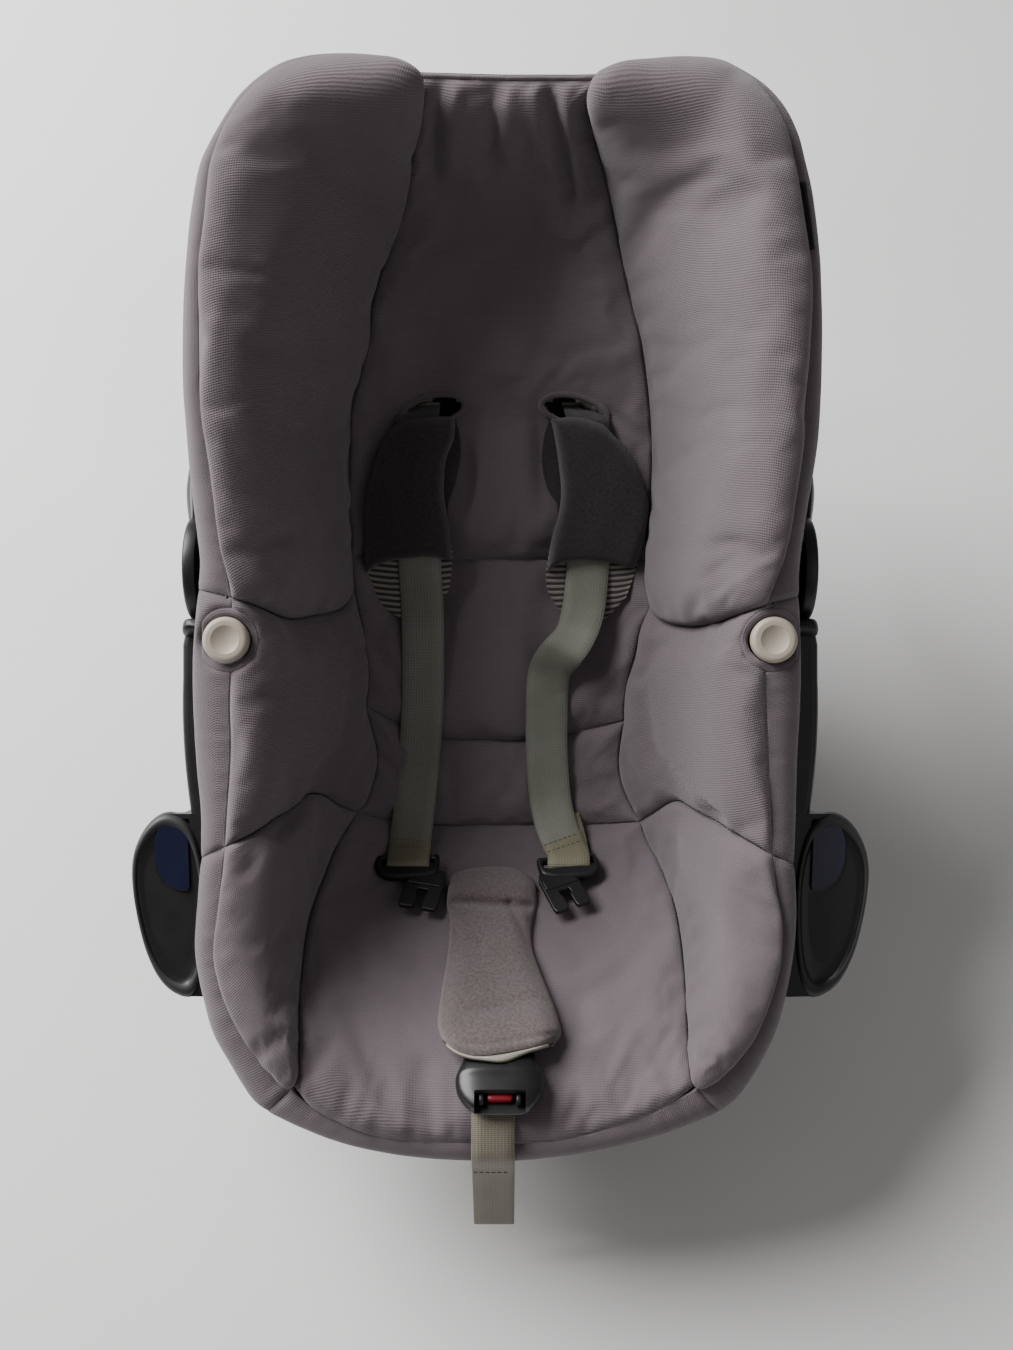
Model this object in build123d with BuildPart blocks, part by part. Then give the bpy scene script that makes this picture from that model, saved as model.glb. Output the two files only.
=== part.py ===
from build123d import *
from math import sin, cos, tan, radians, pi, copysign
import os

os.makedirs("parts", exist_ok=True)

# ------------------------------------------------------------------ driving dimensions (mm)
TILT = 28.0            # slope of the rim plane: the head end stands higher than the foot end
RIM_Y = -70.45          # where the rim frame's origin sits in the part's frame
RIM_Z = 270.0
WALL = 4.0             # moulded shell wall
CLEAR = 0.9            # gap between stacked linings
FOAM = 10.0            # foam liner thickness
ROLL_R = 12.5          # radius of the soft rolled rim
WEB = 28.0             # harness webbing width
WEB_T = 1.8            # harness webbing thickness

A = radians(TILT)
V = Vector(0, cos(A), sin(A))          # along the seat, towards the head
W = Vector(0, -sin(A), cos(A))         # out of the seat, square to the rim
RIM = Plane(origin=(0, RIM_Y, RIM_Z), x_dir=(1, 0, 0), z_dir=tuple(W))


def at(x, v, w):
    """A point given across, along and out of the seat, in the part's frame."""
    return Vector(0, RIM_Y, RIM_Z) + Vector(x, 0, 0) + V * v + W * w


def station(v):
    """The plane across the seat at v: its x is across, its y is out of the seat."""
    return Plane(origin=at(0, v, 0), x_dir=(1, 0, 0), z_dir=tuple(-V))


def side(x):
    """The plane along the seat at x: its x runs to the head, its y is out of the seat."""
    return Plane(origin=at(x, 0, 0), x_dir=tuple(V), z_dir=(1, 0, 0))


# along the seat: half width at the shell's edge, height of the rolled rim, lowest point of the shell
STATIONS = [
    (-255, 64, -4, -41), (-243, 92, -3, -57), (-225, 116, -1, -81), (-195, 137, 0, -117), (-155, 149, -3, -160),
    (-112, 150, -6, -194), (-75, 149, -6, -199), (0, 148, -2, -191), (100, 151, 12, -176), (190, 154, 24, -158),
    (255, 151, 27, -133), (305, 135, 21, -91), (332, 104, 12, -52),
]


VS = [s[0] for s in STATIONS]


def look(v):
    """Half width, rim height and lowest point at v, straight between the stations."""
    t = STATIONS
    if v <= t[0][0]:
        return t[0][1:]
    for a, b in zip(t, t[1:]):
        if v <= b[0]:
            k = (v - a[0]) / (b[0] - a[0])
            return tuple(p + (q - p) * k for p, q in zip(a[1:], b[1:]))
    return t[-1][1:]


def half_section(hw, top, bottom, n, count=9):
    pts = []
    for i in range(count):
        u = pi * i / (count - 1)
        c, s = cos(u), sin(u)
        pts.append((hw * copysign(abs(c) ** (2 / n), c) if abs(c) > 1e-9 else 0.0,
                    top - (top - bottom) * (abs(s) ** (2 / n) if abs(s) > 1e-9 else 0.0)))
    return pts


def tub(span, inset, drop, floor, n):
    """A boat-shaped solid through the stations, kept between two places along the seat: inset from the shell's edge, its flat top drop below the rolled rim's top, and floor above the shell's lowest point."""
    with BuildPart() as body:
        for v in VS:
            hw, top, low = look(v)
            pts = half_section(hw - inset, top - drop, low + floor, n)
            with BuildSketch(station(v)):
                with BuildLine():
                    Spline(*pts)
                    Line(pts[-1], pts[0])
                make_face()
        loft()
        if span:
            with BuildSketch(RIM.offset(-260)):
                with Locations((0, (span[0] + span[1]) / 2)):
                    Rectangle(600, span[1] - span[0])
            extrude(amount=400, mode=Mode.INTERSECT)
    return body.part


def rims(vs, inner, outer, low, high):
    """A band along one side of the shell's edge, between two offsets from it and two heights below the rolled rim's top."""
    with BuildPart() as band:
        for v in vs:
            hw, top, _ = look(v)
            with BuildSketch(station(v)):
                with BuildLine():
                    Polyline((hw + inner, top + low), (hw + outer, top + low),
                             (hw + outer, top + high), (hw + inner, top + high), close=True)
                make_face()
        loft()
    return band.part


def ribbon(points, width, thick):
    """A flat strap: (x, v, w) points along its middle, straight between them."""
    with BuildPart() as strip:
        for x, v, w in points:
            with BuildSketch(station(v)):
                with Locations((x, w)):
                    Rectangle(width, thick)
        loft(ruled=True)
    return strip.part


def coil(plane, radius, wire, height, turns):
    """A wire spring standing on a plane."""
    with BuildPart() as spring:
        with BuildLine():
            path = Helix(pitch=height / turns, height=height, radius=radius, center=tuple(plane.origin), direction=tuple(plane.z_dir))
        with BuildSketch(Plane(origin=path @ 0, z_dir=path % 0)):
            Circle(wire)
        sweep(is_frenet=True)
    return spring.part


def keep(name, part):
    part.label = name
    export_step(part, "parts/" + name + ".step")


def keep_pair(name, part):
    """The piece on the +X side, and its mirror image on the other."""
    with BuildPart() as other:
        mirror(part, about=Plane.YZ)
    keep(name + "_right", part)
    keep(name + "_left", other.part)


# ------------------------------------------------------------------ shell
PIVOT_V, PIVOT_W = 64.0, -46.0
PIN_R = 8.0
BOSS_X = 168.0
BUTTON_X, BUTTON_V = 156.0, 20.0
STEM_R = 4.0
BUTTON_R = 13.2
BUTTON_SINK = 6.5
SLOT_V, SLOT_X = 178.0, 54.0
CROTCH_V = -141.0
BUCKLE_DOWN = 12.0

outer_tub = tub(None, 0, 25.4, 0, 2.7)
inner_tub = tub((-250, 327), WALL, 23, WALL, 2.7)
flange = rims([v for v in VS if -201 < v < 286], -3.0, 13.0, -29.0, -25.4)
pivot = at(0, PIVOT_V, PIVOT_W)


def axle_plane(x):
    return Plane(origin=(x, pivot.Y, pivot.Z), x_dir=(0, 1, 0), z_dir=(1, 0, 0))


with BuildPart() as boss:
    with BuildSketch(axle_plane(120)):
        Circle(22)
    extrude(amount=BOSS_X - 120)

with BuildPart() as slots:
    with BuildSketch(RIM.offset(-240)):
        with Locations((SLOT_X, SLOT_V), (-SLOT_X, SLOT_V), (0, CROTCH_V)):
            RectangleRounded(35, 9, 3)
    extrude(amount=220)

with BuildPart() as outer_shell:
    add(outer_tub)
    add(flange)
    mirror(flange, about=Plane.YZ)
    add(boss.part)
    mirror(boss.part, about=Plane.YZ)
    add(inner_tub, mode=Mode.SUBTRACT)
    add(slots.part, mode=Mode.SUBTRACT)
    with BuildSketch(axle_plane(-200)):
        Circle(PIN_R)
    extrude(amount=400, mode=Mode.SUBTRACT)
    with BuildSketch(RIM.offset(-60)):
        with Locations((BUTTON_X, BUTTON_V), (-BUTTON_X, BUTTON_V)):
            Circle(STEM_R + 0.4)
    extrude(amount=60, mode=Mode.SUBTRACT)
keep("outer_shell", outer_shell.part)

# ------------------------------------------------------------------ front harness adjuster, set in the liner
with BuildPart() as adjuster_housing:
    with BuildSketch(side(-22)):
        with BuildLine():
            Polyline((-248, -18), (-243, -18), (-230.5, -34), (-230.5, -50), (-240, -46), (-248, -38), close=True)
        make_face()
    extrude(amount=44)
    with BuildSketch(RIM.offset(-60)):
        with Locations((0, -238)):
            Rectangle(21, 7)
    extrude(amount=60, mode=Mode.SUBTRACT)
with BuildPart() as adjuster_room:
    with BuildSketch(RIM.offset(-70)):
        with Locations((0, -239)):
            Rectangle(46, 18.6)
    extrude(amount=70)
with BuildPart() as adjuster_button:
    with BuildSketch(RIM.offset(-44)):
        with Locations((0, -238)):
            RectangleRounded(20, 6, 1.5)
    extrude(amount=20.5)
    fillet(adjuster_button.edges().sort_by(Axis((0, 0, 0), tuple(W)))[-8:], 1)
keep("adjuster_housing", adjuster_housing.part)
keep("adjuster_button", adjuster_button.part)

# ------------------------------------------------------------------ foam liner
with BuildPart() as foam_liner:
    add(tub((-225, 311), WALL + 3.4, 31, WALL + 1.2, 2.7))
    add(tub((-240, 330), WALL + FOAM, 27, WALL + FOAM + 1, 2.7), mode=Mode.SUBTRACT)
    add(slots.part, mode=Mode.SUBTRACT)
    add(adjuster_room.part, mode=Mode.SUBTRACT)
keep("foam_liner", foam_liner.part)

# ------------------------------------------------------------------ padded cover, panel by panel
lining = tub((-229, 303), WALL + FOAM + 2.0, 30, WALL + FOAM + 1 + CLEAR, 2.7)
hollow = tub(None, 25, 20, 33, 2.3)
with BuildPart() as cover:
    add(lining)
    add(hollow, mode=Mode.SUBTRACT)
    add(slots.part, mode=Mode.SUBTRACT)
    add(adjuster_room.part, mode=Mode.SUBTRACT)


def panel(points):
    with BuildPart() as piece:
        add(cover.part)
        with BuildSketch(RIM.offset(-230)):
            with BuildLine():
                Polyline(*points, close=True)
            make_face()
        extrude(amount=300, mode=Mode.INTERSECT)
    return piece.part


keep("back_pad", panel([(-92, -106), (92, -106), (92, 66), (96, 130), (90, 200), (76, 270), (50, 345),
                        (-50, 345), (-76, 270), (-90, 200), (-96, 130), (-92, 66)]))
keep("seat_pad", panel([(-112, -106.6), (112, -106.6), (121, -219), (118, -300), (-118, -300), (-121, -219)]))
keep_pair("torso_panel", panel([(92.6, -106), (112.4, -106), (112.4, -98.4), (210, -98.4), (210, 66), (92.6, 66)]))
keep_pair("head_bolster", panel([(92.6, 66.6), (210, 66.6), (210, 380), (50.6, 380), (50.6, 345), (76.6, 270),
                                 (90.6, 200), (96.6, 130)]))
keep_pair("thigh_bolster", panel([(113, -99), (210, -99), (210, -310), (118.6, -310), (121.6, -219)]))

# soft rolled rim: one length along each side, one round the feet and one round the head
with BuildPart() as roll_side:
    for v in [s for s in VS if -200 < s < 300] + [275.4]:
        hw, top, _ = look(v)
        with BuildSketch(station(v)):
            with Locations((hw + 8, top - ROLL_R + 0.9)):
                Circle(ROLL_R)
    loft()
    with BuildSketch(RIM.offset(-60)):
        with Locations((BUTTON_X, BUTTON_V)):
            Circle(7.6)
    extrude(amount=90, mode=Mode.SUBTRACT)
    with BuildSketch(RIM.offset(look(BUTTON_V)[1] - BUTTON_SINK)):
        with Locations((BUTTON_X, BUTTON_V)):
            Circle(BUTTON_R + 1)
    extrude(amount=40, mode=Mode.SUBTRACT)
FOOT_OUT = [(0, -276.5), (60, -273), (98, -262), (126, -247), (144, -230), (156, -208), (157.5, -195.4)]
FOOT_IN = [(0, -251.5), (58, -248), (91, -239), (110, -228), (124, -214), (133, -195.4)]
HEAD_OUT = [(156, 0.4), (151, 21), (142, 40), (124, 57), (96, 65.5), (50, 66), (0, 65)]
HEAD_IN = [(131, 0.4), (126, 14), (116, 27), (104, 36), (84, 40.5), (45, 41), (0, 40)]
head_plane = Plane(origin=at(0, 276, 1.6), x_dir=(1, 0, 0), z_dir=tuple((W * 0.9889 + V * 0.1483).normalized()))
with BuildPart() as roll_foot:
    with BuildSketch(RIM.offset(-24.0)):
        with BuildLine():
            Spline(*[(-x, v) for x, v in reversed(FOOT_OUT[1:])], *FOOT_OUT)
            Line(FOOT_OUT[-1], FOOT_IN[-1])
            Spline(*reversed(FOOT_IN), *[(-x, v) for x, v in FOOT_IN[1:]])
            Line((-FOOT_IN[-1][0], FOOT_IN[-1][1]), (-FOOT_OUT[-1][0], FOOT_OUT[-1][1]))
        make_face()
    extrude(amount=21.4)
with BuildPart() as roll_head:
    with BuildSketch(head_plane):
        with BuildLine():
            Spline(*[(-x, v) for x, v in HEAD_OUT[:-1]], *reversed(HEAD_OUT))
            Line(HEAD_OUT[0], HEAD_IN[0])
            Spline(*HEAD_IN, *[(-x, v) for x, v in reversed(HEAD_IN[:-1])])
            Line((-HEAD_IN[0][0], HEAD_IN[0][1]), (-HEAD_OUT[0][0], HEAD_OUT[0][1]))
        make_face()
    extrude(amount=25)
with BuildPart() as rim_roll:
    add(roll_side.part)
    mirror(roll_side.part, about=Plane.YZ)
    add(roll_foot.part)
    add(roll_head.part)
keep("rim_roll", rim_roll.part)

# ------------------------------------------------------------------ release buttons on the rim, their springs and latches
button_top = look(BUTTON_V)[1]
with BuildPart() as release_button:
    with BuildSketch(RIM.offset(button_top - 1.0)):
        with Locations((BUTTON_X, BUTTON_V)):
            Circle(BUTTON_R)
    extrude(amount=7)
    fillet(release_button.edges().filter_by(GeomType.CIRCLE).sort_by(Axis((0, 0, 0), tuple(W)))[-1], 3)
    with BuildSketch(RIM.offset(-54)):
        with Locations((BUTTON_X, BUTTON_V)):
            Circle(STEM_R)
    extrude(amount=54 + button_top)
    with Locations(at(BUTTON_X, BUTTON_V, button_top + 6 + 16)):
        Sphere(18, mode=Mode.SUBTRACT)
keep_pair("release_button", release_button.part)
keep_pair("release_spring", coil(Plane(origin=at(BUTTON_X, BUTTON_V, button_top - 24.3), x_dir=(1, 0, 0), z_dir=tuple(W)),
                                 5.9, 0.75, 21.4, 5))
with BuildPart() as adapter_latch:
    with BuildSketch(RIM.offset(-78)):
        with BuildLine():
            Polyline((158, -6), (174, -6), (174, 2), (166, 14), (158, 14), close=True)
        make_face()
    extrude(amount=14)
keep_pair("adapter_latch", adapter_latch.part)

# ------------------------------------------------------------------ side fairings and lap-belt hooks
with BuildPart() as adapter_socket:
    socket = at(0, -18, -80)
    with BuildSketch(Plane.XY.offset(socket.Z - 60)):
        with Locations((165.5, socket.Y)):
            Rectangle(15, 30)
    extrude(amount=70)
with BuildPart() as side_cover:
    with BuildSketch(RIM.offset(-98)):
        with BuildLine():
            Polyline((120, 31), (188, 31), (190.5, 18), (190.5, -2))
            Spline((190.5, -2), (188.5, -60), (182, -105), (172, -150), (158, -188))
            Polyline((158, -188), (120, -192), (120, 31))
        make_face()
    extrude(amount=61)
    chamfer(side_cover.faces().sort_by(Axis((0, 0, 0), tuple(W)))[0].edges().sort_by(Axis.X)[2:], 9)
    fillet(side_cover.faces().sort_by(Axis((0, 0, 0), tuple(W)))[-1].edges().sort_by(Axis.X)[2:], 4)
    add(outer_tub, mode=Mode.SUBTRACT)
    add(flange, mode=Mode.SUBTRACT)
    with BuildSketch(axle_plane(100)):
        Circle(32.5)
    extrude(amount=200, mode=Mode.SUBTRACT)
    with BuildSketch(RIM.offset(-84)):
        with Locations((156, 6)):
            Rectangle(40, 44)
    extrude(amount=70, mode=Mode.SUBTRACT)
    add(adapter_socket.part, mode=Mode.SUBTRACT)
keep_pair("side_cover", side_cover.part)

LEAF = [(199, -83), (208, -87), (215.5, -97), (219.7, -110), (219.5, -130), (215, -154), (209, -172), (200.5, -185.5), (190, -192)]
with BuildPart() as belt_hook:
    with BuildSketch(RIM.offset(-68)):
        with BuildLine():
            Spline(*LEAF)
            Polyline((190, -192), (150, -193), (150, -83), (199, -83))
        make_face()
    extrude(amount=31)
    with BuildSketch(RIM.offset(-69)):
        with BuildLine():
            Spline((204, -70), (209.5, -97), (213.5, -110), (213.5, -130), (209, -154), (203, -170))
            Polyline((203, -170), (191, -176), (191, -70), (204, -70))
        make_face()
    extrude(amount=22, mode=Mode.SUBTRACT)
    add(side_cover.part, mode=Mode.SUBTRACT)
    add(outer_tub, mode=Mode.SUBTRACT)
    add(flange, mode=Mode.SUBTRACT)
belt_hook_solid = belt_hook.part.solids().sort_by(SortBy.VOLUME)[-1]
with BuildPart() as belt_hook_whole:
    add(belt_hook_solid)
with BuildPart() as hook_insert:
    with BuildSketch(RIM.offset(-40)):
        with BuildLine():
            Spline((203, -86), (207, -97), (206.5, -112), (202, -124), (193, -130))
            Polyline((193, -130), (184, -130), (186, -86), (203, -86))
        make_face()
    extrude(amount=4.2)
with BuildPart() as belt_hook_cut:
    add(belt_hook_whole.part)
    add(hook_insert.part, mode=Mode.SUBTRACT)
with BuildPart() as hook_insert_cut:
    add(hook_insert.part)
    add(side_cover.part, mode=Mode.SUBTRACT)
keep_pair("belt_hook", belt_hook_cut.part)
keep_pair("hook_insert", hook_insert_cut.part)

with BuildPart() as cover_screws:
    for sx in (1, -1):
        with BuildSketch(RIM.offset(-100.2)):
            with Locations((sx * 170, -62), (sx * 160, -120)):
                Circle(4)
        extrude(amount=2)
keep("cover_screws", cover_screws.part)

# ------------------------------------------------------------------ carrying handle
BOW_R = 316.0
ARM_X0, ARM_X1 = 180.0, 193.0
CORNER = 85.0
arm_x = (ARM_X0 + ARM_X1) / 2
with BuildPart() as pivot_pin:
    with BuildSketch(axle_plane(149)):
        Circle(PIN_R)
    extrude(amount=32)
keep_pair("pivot_pin", pivot_pin.part)

with BuildPart() as handle_arm:
    with BuildSketch(axle_plane(178)):
        Circle(30)
    extrude(amount=ARM_X1 + 0.5 - 178)
    fillet(handle_arm.edges().filter_by(GeomType.CIRCLE).sort_by(Axis.X)[-1], 3)
    with BuildSketch(axle_plane(BOSS_X + 0.4)):
        Circle(20)
    extrude(amount=12)
    with BuildSketch(Plane(origin=(arm_x, pivot.Y + 6, pivot.Z), x_dir=(1, 0, 0), z_dir=(0, 1, 0))):
        RectangleRounded(13, 46, 5)
    with BuildSketch(Plane(origin=(arm_x, pivot.Y + BOW_R - CORNER, pivot.Z), x_dir=(1, 0, 0), z_dir=(0, 1, 0))):
        RectangleRounded(13, 30, 5)
    loft()
    with BuildLine(Plane.XY.offset(pivot.Z)):
        bend = CenterArc((arm_x - CORNER, pivot.Y + BOW_R - CORNER), CORNER, 0, 90)
        Line(bend @ 1, (0.2, pivot.Y + BOW_R))
    with BuildSketch(Plane(origin=(arm_x, pivot.Y + BOW_R - CORNER, pivot.Z), x_dir=(1, 0, 0), z_dir=(0, 1, 0))):
        RectangleRounded(13, 30, 5)
    sweep()
    with BuildSketch(axle_plane(160)):
        Circle(PIN_R + 0.05)
    extrude(amount=21.5, mode=Mode.SUBTRACT)
    with BuildSketch(axle_plane(181.5)):
        Circle(13.4)
    extrude(amount=20, mode=Mode.SUBTRACT)
keep_pair("handle_arm", handle_arm.part)

with BuildPart() as handle_grip:
    for gx, gy, gz in ((-100, 25, 33), (-60, 28, 35), (0, 29, 36), (60, 28, 35), (100, 25, 33)):
        with BuildSketch(Plane(origin=(gx, pivot.Y + BOW_R, pivot.Z), x_dir=(0, 1, 0), z_dir=(1, 0, 0))):
            RectangleRounded(gy, gz, 11)
    loft()
    with BuildSketch(Plane(origin=(-120, pivot.Y + BOW_R, pivot.Z), x_dir=(0, 1, 0), z_dir=(1, 0, 0))):
        RectangleRounded(13.1, 30.1, 5.05)
    extrude(amount=240, mode=Mode.SUBTRACT)
keep("handle_grip", handle_grip.part)

with BuildPart() as handle_button:
    with BuildSketch(axle_plane(187.5)):
        Circle(13)
    extrude(amount=8.5)
    fillet(handle_button.edges().filter_by(GeomType.CIRCLE).sort_by(Axis.X)[-1], 2)
keep_pair("handle_button", handle_button.part)
keep_pair("handle_spring", coil(axle_plane(182.4), 8, 0.7, 4.2, 2.5))

# ------------------------------------------------------------------ rocker runners, feet and anchor rods
RUN_X0, RUN_X1 = 84.0, 100.0
with BuildPart() as rubber_feet:
    for sx in (1, -1):
        with BuildSketch():
            with Locations((sx * (RUN_X0 + RUN_X1) / 2, -108), (sx * (RUN_X0 + RUN_X1) / 2, 42)):
                RectangleRounded(12, 46, 3)
        extrude(amount=7)
keep("rubber_feet", rubber_feet.part)
with BuildPart() as anchor_rods:
    for y in (-112, 44):
        with BuildSketch(Plane(origin=(-94, y, 20), x_dir=(0, 1, 0), z_dir=(1, 0, 0))):
            Circle(5)
        extrude(amount=188)
keep("anchor_rods", anchor_rods.part)
with BuildPart() as runner:
    with BuildSketch(Plane(origin=(RUN_X0, 0, 0), x_dir=(0, 1, 0), z_dir=(1, 0, 0))):
        with BuildLine():
            Polyline((-190, 108), (-100, 140), (40, 165), (100, 205), (110, 190), (116, 125))
            Spline((116, 125), (113, 80), (102, 35), (66, 2.5))
            Line((66, 2.5), (-136, 2.5))
            Spline((-136, 2.5), (-168, 18), (-184, 50), (-190, 108))
        make_face()
    extrude(amount=RUN_X1 - RUN_X0)
    add(outer_tub, mode=Mode.SUBTRACT)
    add(rubber_feet.part, mode=Mode.SUBTRACT)
    add(anchor_rods.part, mode=Mode.SUBTRACT)
runner_solid = runner.part.solids().sort_by(SortBy.VOLUME)[-1]
with BuildPart() as runner_whole:
    add(runner_solid)
keep_pair("base_runner", runner_whole.part)

# ------------------------------------------------------------------ diagonal belt guide on the back
with BuildPart() as belt_guide:
    with BuildSketch(side(-45)):
        with BuildLine():
            Polyline((222, -110), (222, -174), (270, -174), (274, -168), (238, -166), (238, -110), close=True)
        make_face()
    extrude(amount=90)
    add(outer_tub, mode=Mode.SUBTRACT)
keep("belt_guide", belt_guide.part)

# ------------------------------------------------------------------ harness behind and under the shell
with BuildPart() as yoke_plate:
    with BuildSketch(RIM.offset(-194.5)):
        with Locations((0, 56)):
            RectangleRounded(84, 30, 6)
    extrude(amount=2)
keep("yoke_plate", yoke_plate.part)
for name, s in (("right", 1), ("left", -1)):
    with BuildPart() as rear_strap:
        add(ribbon([(s * SLOT_X, 179, -168.5), (s * SLOT_X, 150, -173), (s * 46, 100, -182), (s * 26, 60, -190.5)], WEB, WEB_T))
        with BuildSketch(RIM.offset(-168.5)):
            with Locations((s * SLOT_X, SLOT_V)):
                Rectangle(WEB, WEB_T)
        extrude(amount=50)
    keep("rear_strap_" + name, rear_strap.part)
with BuildPart() as lower_strap:
    add(ribbon([(0, 48, -196.4), (0, 0, -199.5), (0, -40, -204.5), (0, -80, -206.5), (0, -100, -206), (0, -118, -199.5),
                (0, -136, -189)], 25, 2.2))
    add(ribbon([(0, -147, -180), (0, -170, -155), (0, -200, -121.5), (0, -224, -90)], 25, 2.4))
keep("lower_strap", lower_strap.part)
with BuildPart() as crotch_anchor:
    with BuildSketch(RIM.offset(-192)):
        with Locations((0, CROTCH_V)):
            Rectangle(WEB, 2)
    extrude(amount=54)
keep("crotch_anchor", crotch_anchor.part)
with BuildPart() as pull_strap:
    add(ribbon([(-4, -244.5, -16.4), (-4, -249, -6), (-4, -250.9, 0.4), (-4, -262, 0.6), (-4, -270, 0.4),
                (-4, -277.5, -0.8), (-4, -281.5, -8), (-4, -290, -19), (-4, -339, -66)], 25, 2.2))
keep("pull_strap", pull_strap.part)

# ------------------------------------------------------------------ shoulder straps, pads and tongues
STRAPS = {
    "right": [(56, 174, -99.5), (56, 160, -97.5), (57, 75, -112.5), (54, 40, -118.5), (46, 15, -123), (34, -8, -127.5),
              (33, -60, -137), (41, -100, -136.5), (47.5, -121, -125)],
    "left": [(-54, 174, -99.5), (-54, 160, -97.5), (-53, 75, -112.5), (-51, 40, -118.5), (-52, -10, -128), (-56, -60, -137),
             (-60, -100, -136.5), (-61, -121, -125)],
}
TONGUE_V, TONGUE_W = -125.0, -122.4
for name in ("right", "left"):
    pts = STRAPS[name]
    cx, ex = pts[0][0], pts[-1][0]
    with BuildPart() as shoulder_strap:
        add(ribbon(pts, WEB, WEB_T))
        with BuildSketch(side(ex - WEB / 2)):
            with Locations((TONGUE_V, TONGUE_W)):
                Circle(4.6)
        extrude(amount=WEB)
        with BuildSketch(side(ex - WEB)):
            with Locations((TONGUE_V, TONGUE_W)):
                Circle(2.8)
        extrude(amount=2 * WEB, mode=Mode.SUBTRACT)
    keep("shoulder_strap_" + name, shoulder_strap.part)
    slope = (-112.5 + 97.5) / (75 - 160)
    with BuildPart() as shoulder_pad:
        with BuildSketch(Plane(origin=at(cx, 160, -97.5), x_dir=(1, 0, 0), z_dir=tuple(W * cos(slope) - V * sin(slope)))):
            with BuildLine():
                Polyline((-22, 6), (22, 6), (28, -30), (28, -92))
                Spline((28, -92), (18, -118), (0, -126), (-18, -118), (-28, -92))
                Polyline((-28, -92), (-28, -30), (-22, 6))
            make_face()
        extrude(amount=6.2, both=True)
        with BuildSketch(Plane(origin=at(cx, 160, -97.5), x_dir=(1, 0, 0), z_dir=tuple(W * cos(slope) - V * sin(slope)))):
            with Locations((0, -70)):
                Rectangle(36, 220)
        extrude(amount=3.0, both=True, mode=Mode.SUBTRACT)
    keep("shoulder_pad_" + name, shoulder_pad.part)
    face = Plane(origin=at(ex, TONGUE_V, TONGUE_W), x_dir=(1, 0, 0), z_dir=tuple((W * 0.66 + V * 0.75).normalized()))
    lean = 2 if name == "right" else -8
    with BuildPart() as tongue:
        with BuildSketch(side(ex - 25)):
            with Locations((TONGUE_V, TONGUE_W)):
                Circle(2.3)
        extrude(amount=50)
        with BuildSketch(face):
            with Locations((-22.5, -5), (22.5, -5)):
                RectangleRounded(5, 14, 2)
            with Locations((0, -12)):
                RectangleRounded(50, 9, 2.5)
            with Locations((-lean, -22)):
                Rectangle(30, 14)
            with Locations((-lean - 10, -34), (-lean + 10, -34)):
                RectangleRounded(10, 18, 3)
        extrude(amount=1.3, both=True)
    keep("tongue_" + name, tongue.part)

# ------------------------------------------------------------------ crotch strap, its pad and the buckle
UV, UW = -0.636, 0.7717
P0 = at(0, -129.5, -131)
NRM = V * UW - W * UV
CROTCH = Plane(origin=P0, x_dir=(1, 0, 0), z_dir=tuple(NRM))
with BuildPart() as crotch_strap:
    with BuildSketch(CROTCH.offset(-0.9)):
        with Locations((0, -64 - BUCKLE_DOWN / 2)):
            Rectangle(WEB, 124 + BUCKLE_DOWN)
    extrude(amount=1.8)
keep("crotch_strap", crotch_strap.part)
with BuildPart() as crotch_pad:
    with BuildSketch(CROTCH.offset(-7)):
        with BuildLine():
            Spline((-20.5, -22), (-16, -8), (0, -3), (16, -8), (20.5, -22))
            Spline((20.5, -22), (22, -50), (30, -92), (36, -112 - BUCKLE_DOWN))
            Spline((36, -112 - BUCKLE_DOWN), (30, -119 - BUCKLE_DOWN), (0, -121 - BUCKLE_DOWN), (-30, -119 - BUCKLE_DOWN), (-36, -112 - BUCKLE_DOWN))
            Spline((-36, -112 - BUCKLE_DOWN), (-30, -92), (-22, -50), (-20.5, -22))
        make_face()
    extrude(amount=14)
    with BuildSketch(CROTCH.offset(-1.5)):
        with Locations((0, -70)):
            Rectangle(30, 160)
    extrude(amount=3, mode=Mode.SUBTRACT)
    with BuildSketch(CROTCH.offset(-20)):
        with Locations((0, -130 - BUCKLE_DOWN)):
            Rectangle(53, 42)
    extrude(amount=40, mode=Mode.SUBTRACT)
keep("crotch_pad", crotch_pad.part)
BUCKLE = Plane(origin=CROTCH.from_local_coords((0, -BUCKLE_DOWN, 0)), x_dir=(1, 0, 0), z_dir=tuple(NRM))


def buckle_half(low, high, hole):
    with BuildPart() as half:
        with BuildSketch(BUCKLE.offset(low)):
            with BuildLine():
                Polyline((-20, -110), (20, -110), (25, -120), (26, -150))
                Spline((26, -150), (23, -164), (14, -169.5), (0, -170), (-14, -169.5), (-23, -164), (-26, -150))
                Polyline((-26, -150), (-25, -120), (-20, -110))
            make_face()
        extrude(amount=high - low)
        face = half.faces().sort_by(Axis((0, 0, 0), tuple(NRM)))
        fillet((face[-1] if low > 0 else face[0]).edges(), 2.5)
        with BuildSketch(BUCKLE.offset(-2.4)):
            with Locations((0, -160)):
                Rectangle(38, 40)
        extrude(amount=4.8, mode=Mode.SUBTRACT)
        with BuildSketch(BUCKLE.offset(-1.2)):
            with Locations((0, -118)):
                Rectangle(29, 24)
        extrude(amount=2.4, mode=Mode.SUBTRACT)
        if hole:
            with BuildSketch(BUCKLE.offset(-20)):
                with Locations((0, -140)):
                    RectangleRounded(26.8, 18.8, 4.4)
            extrude(amount=20, mode=Mode.SUBTRACT)
        else:
            with BuildSketch(BUCKLE.offset(0)):
                with Locations((0, -136)):
                    Circle(5)
            extrude(amount=5, mode=Mode.SUBTRACT)
    return half.part


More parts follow.
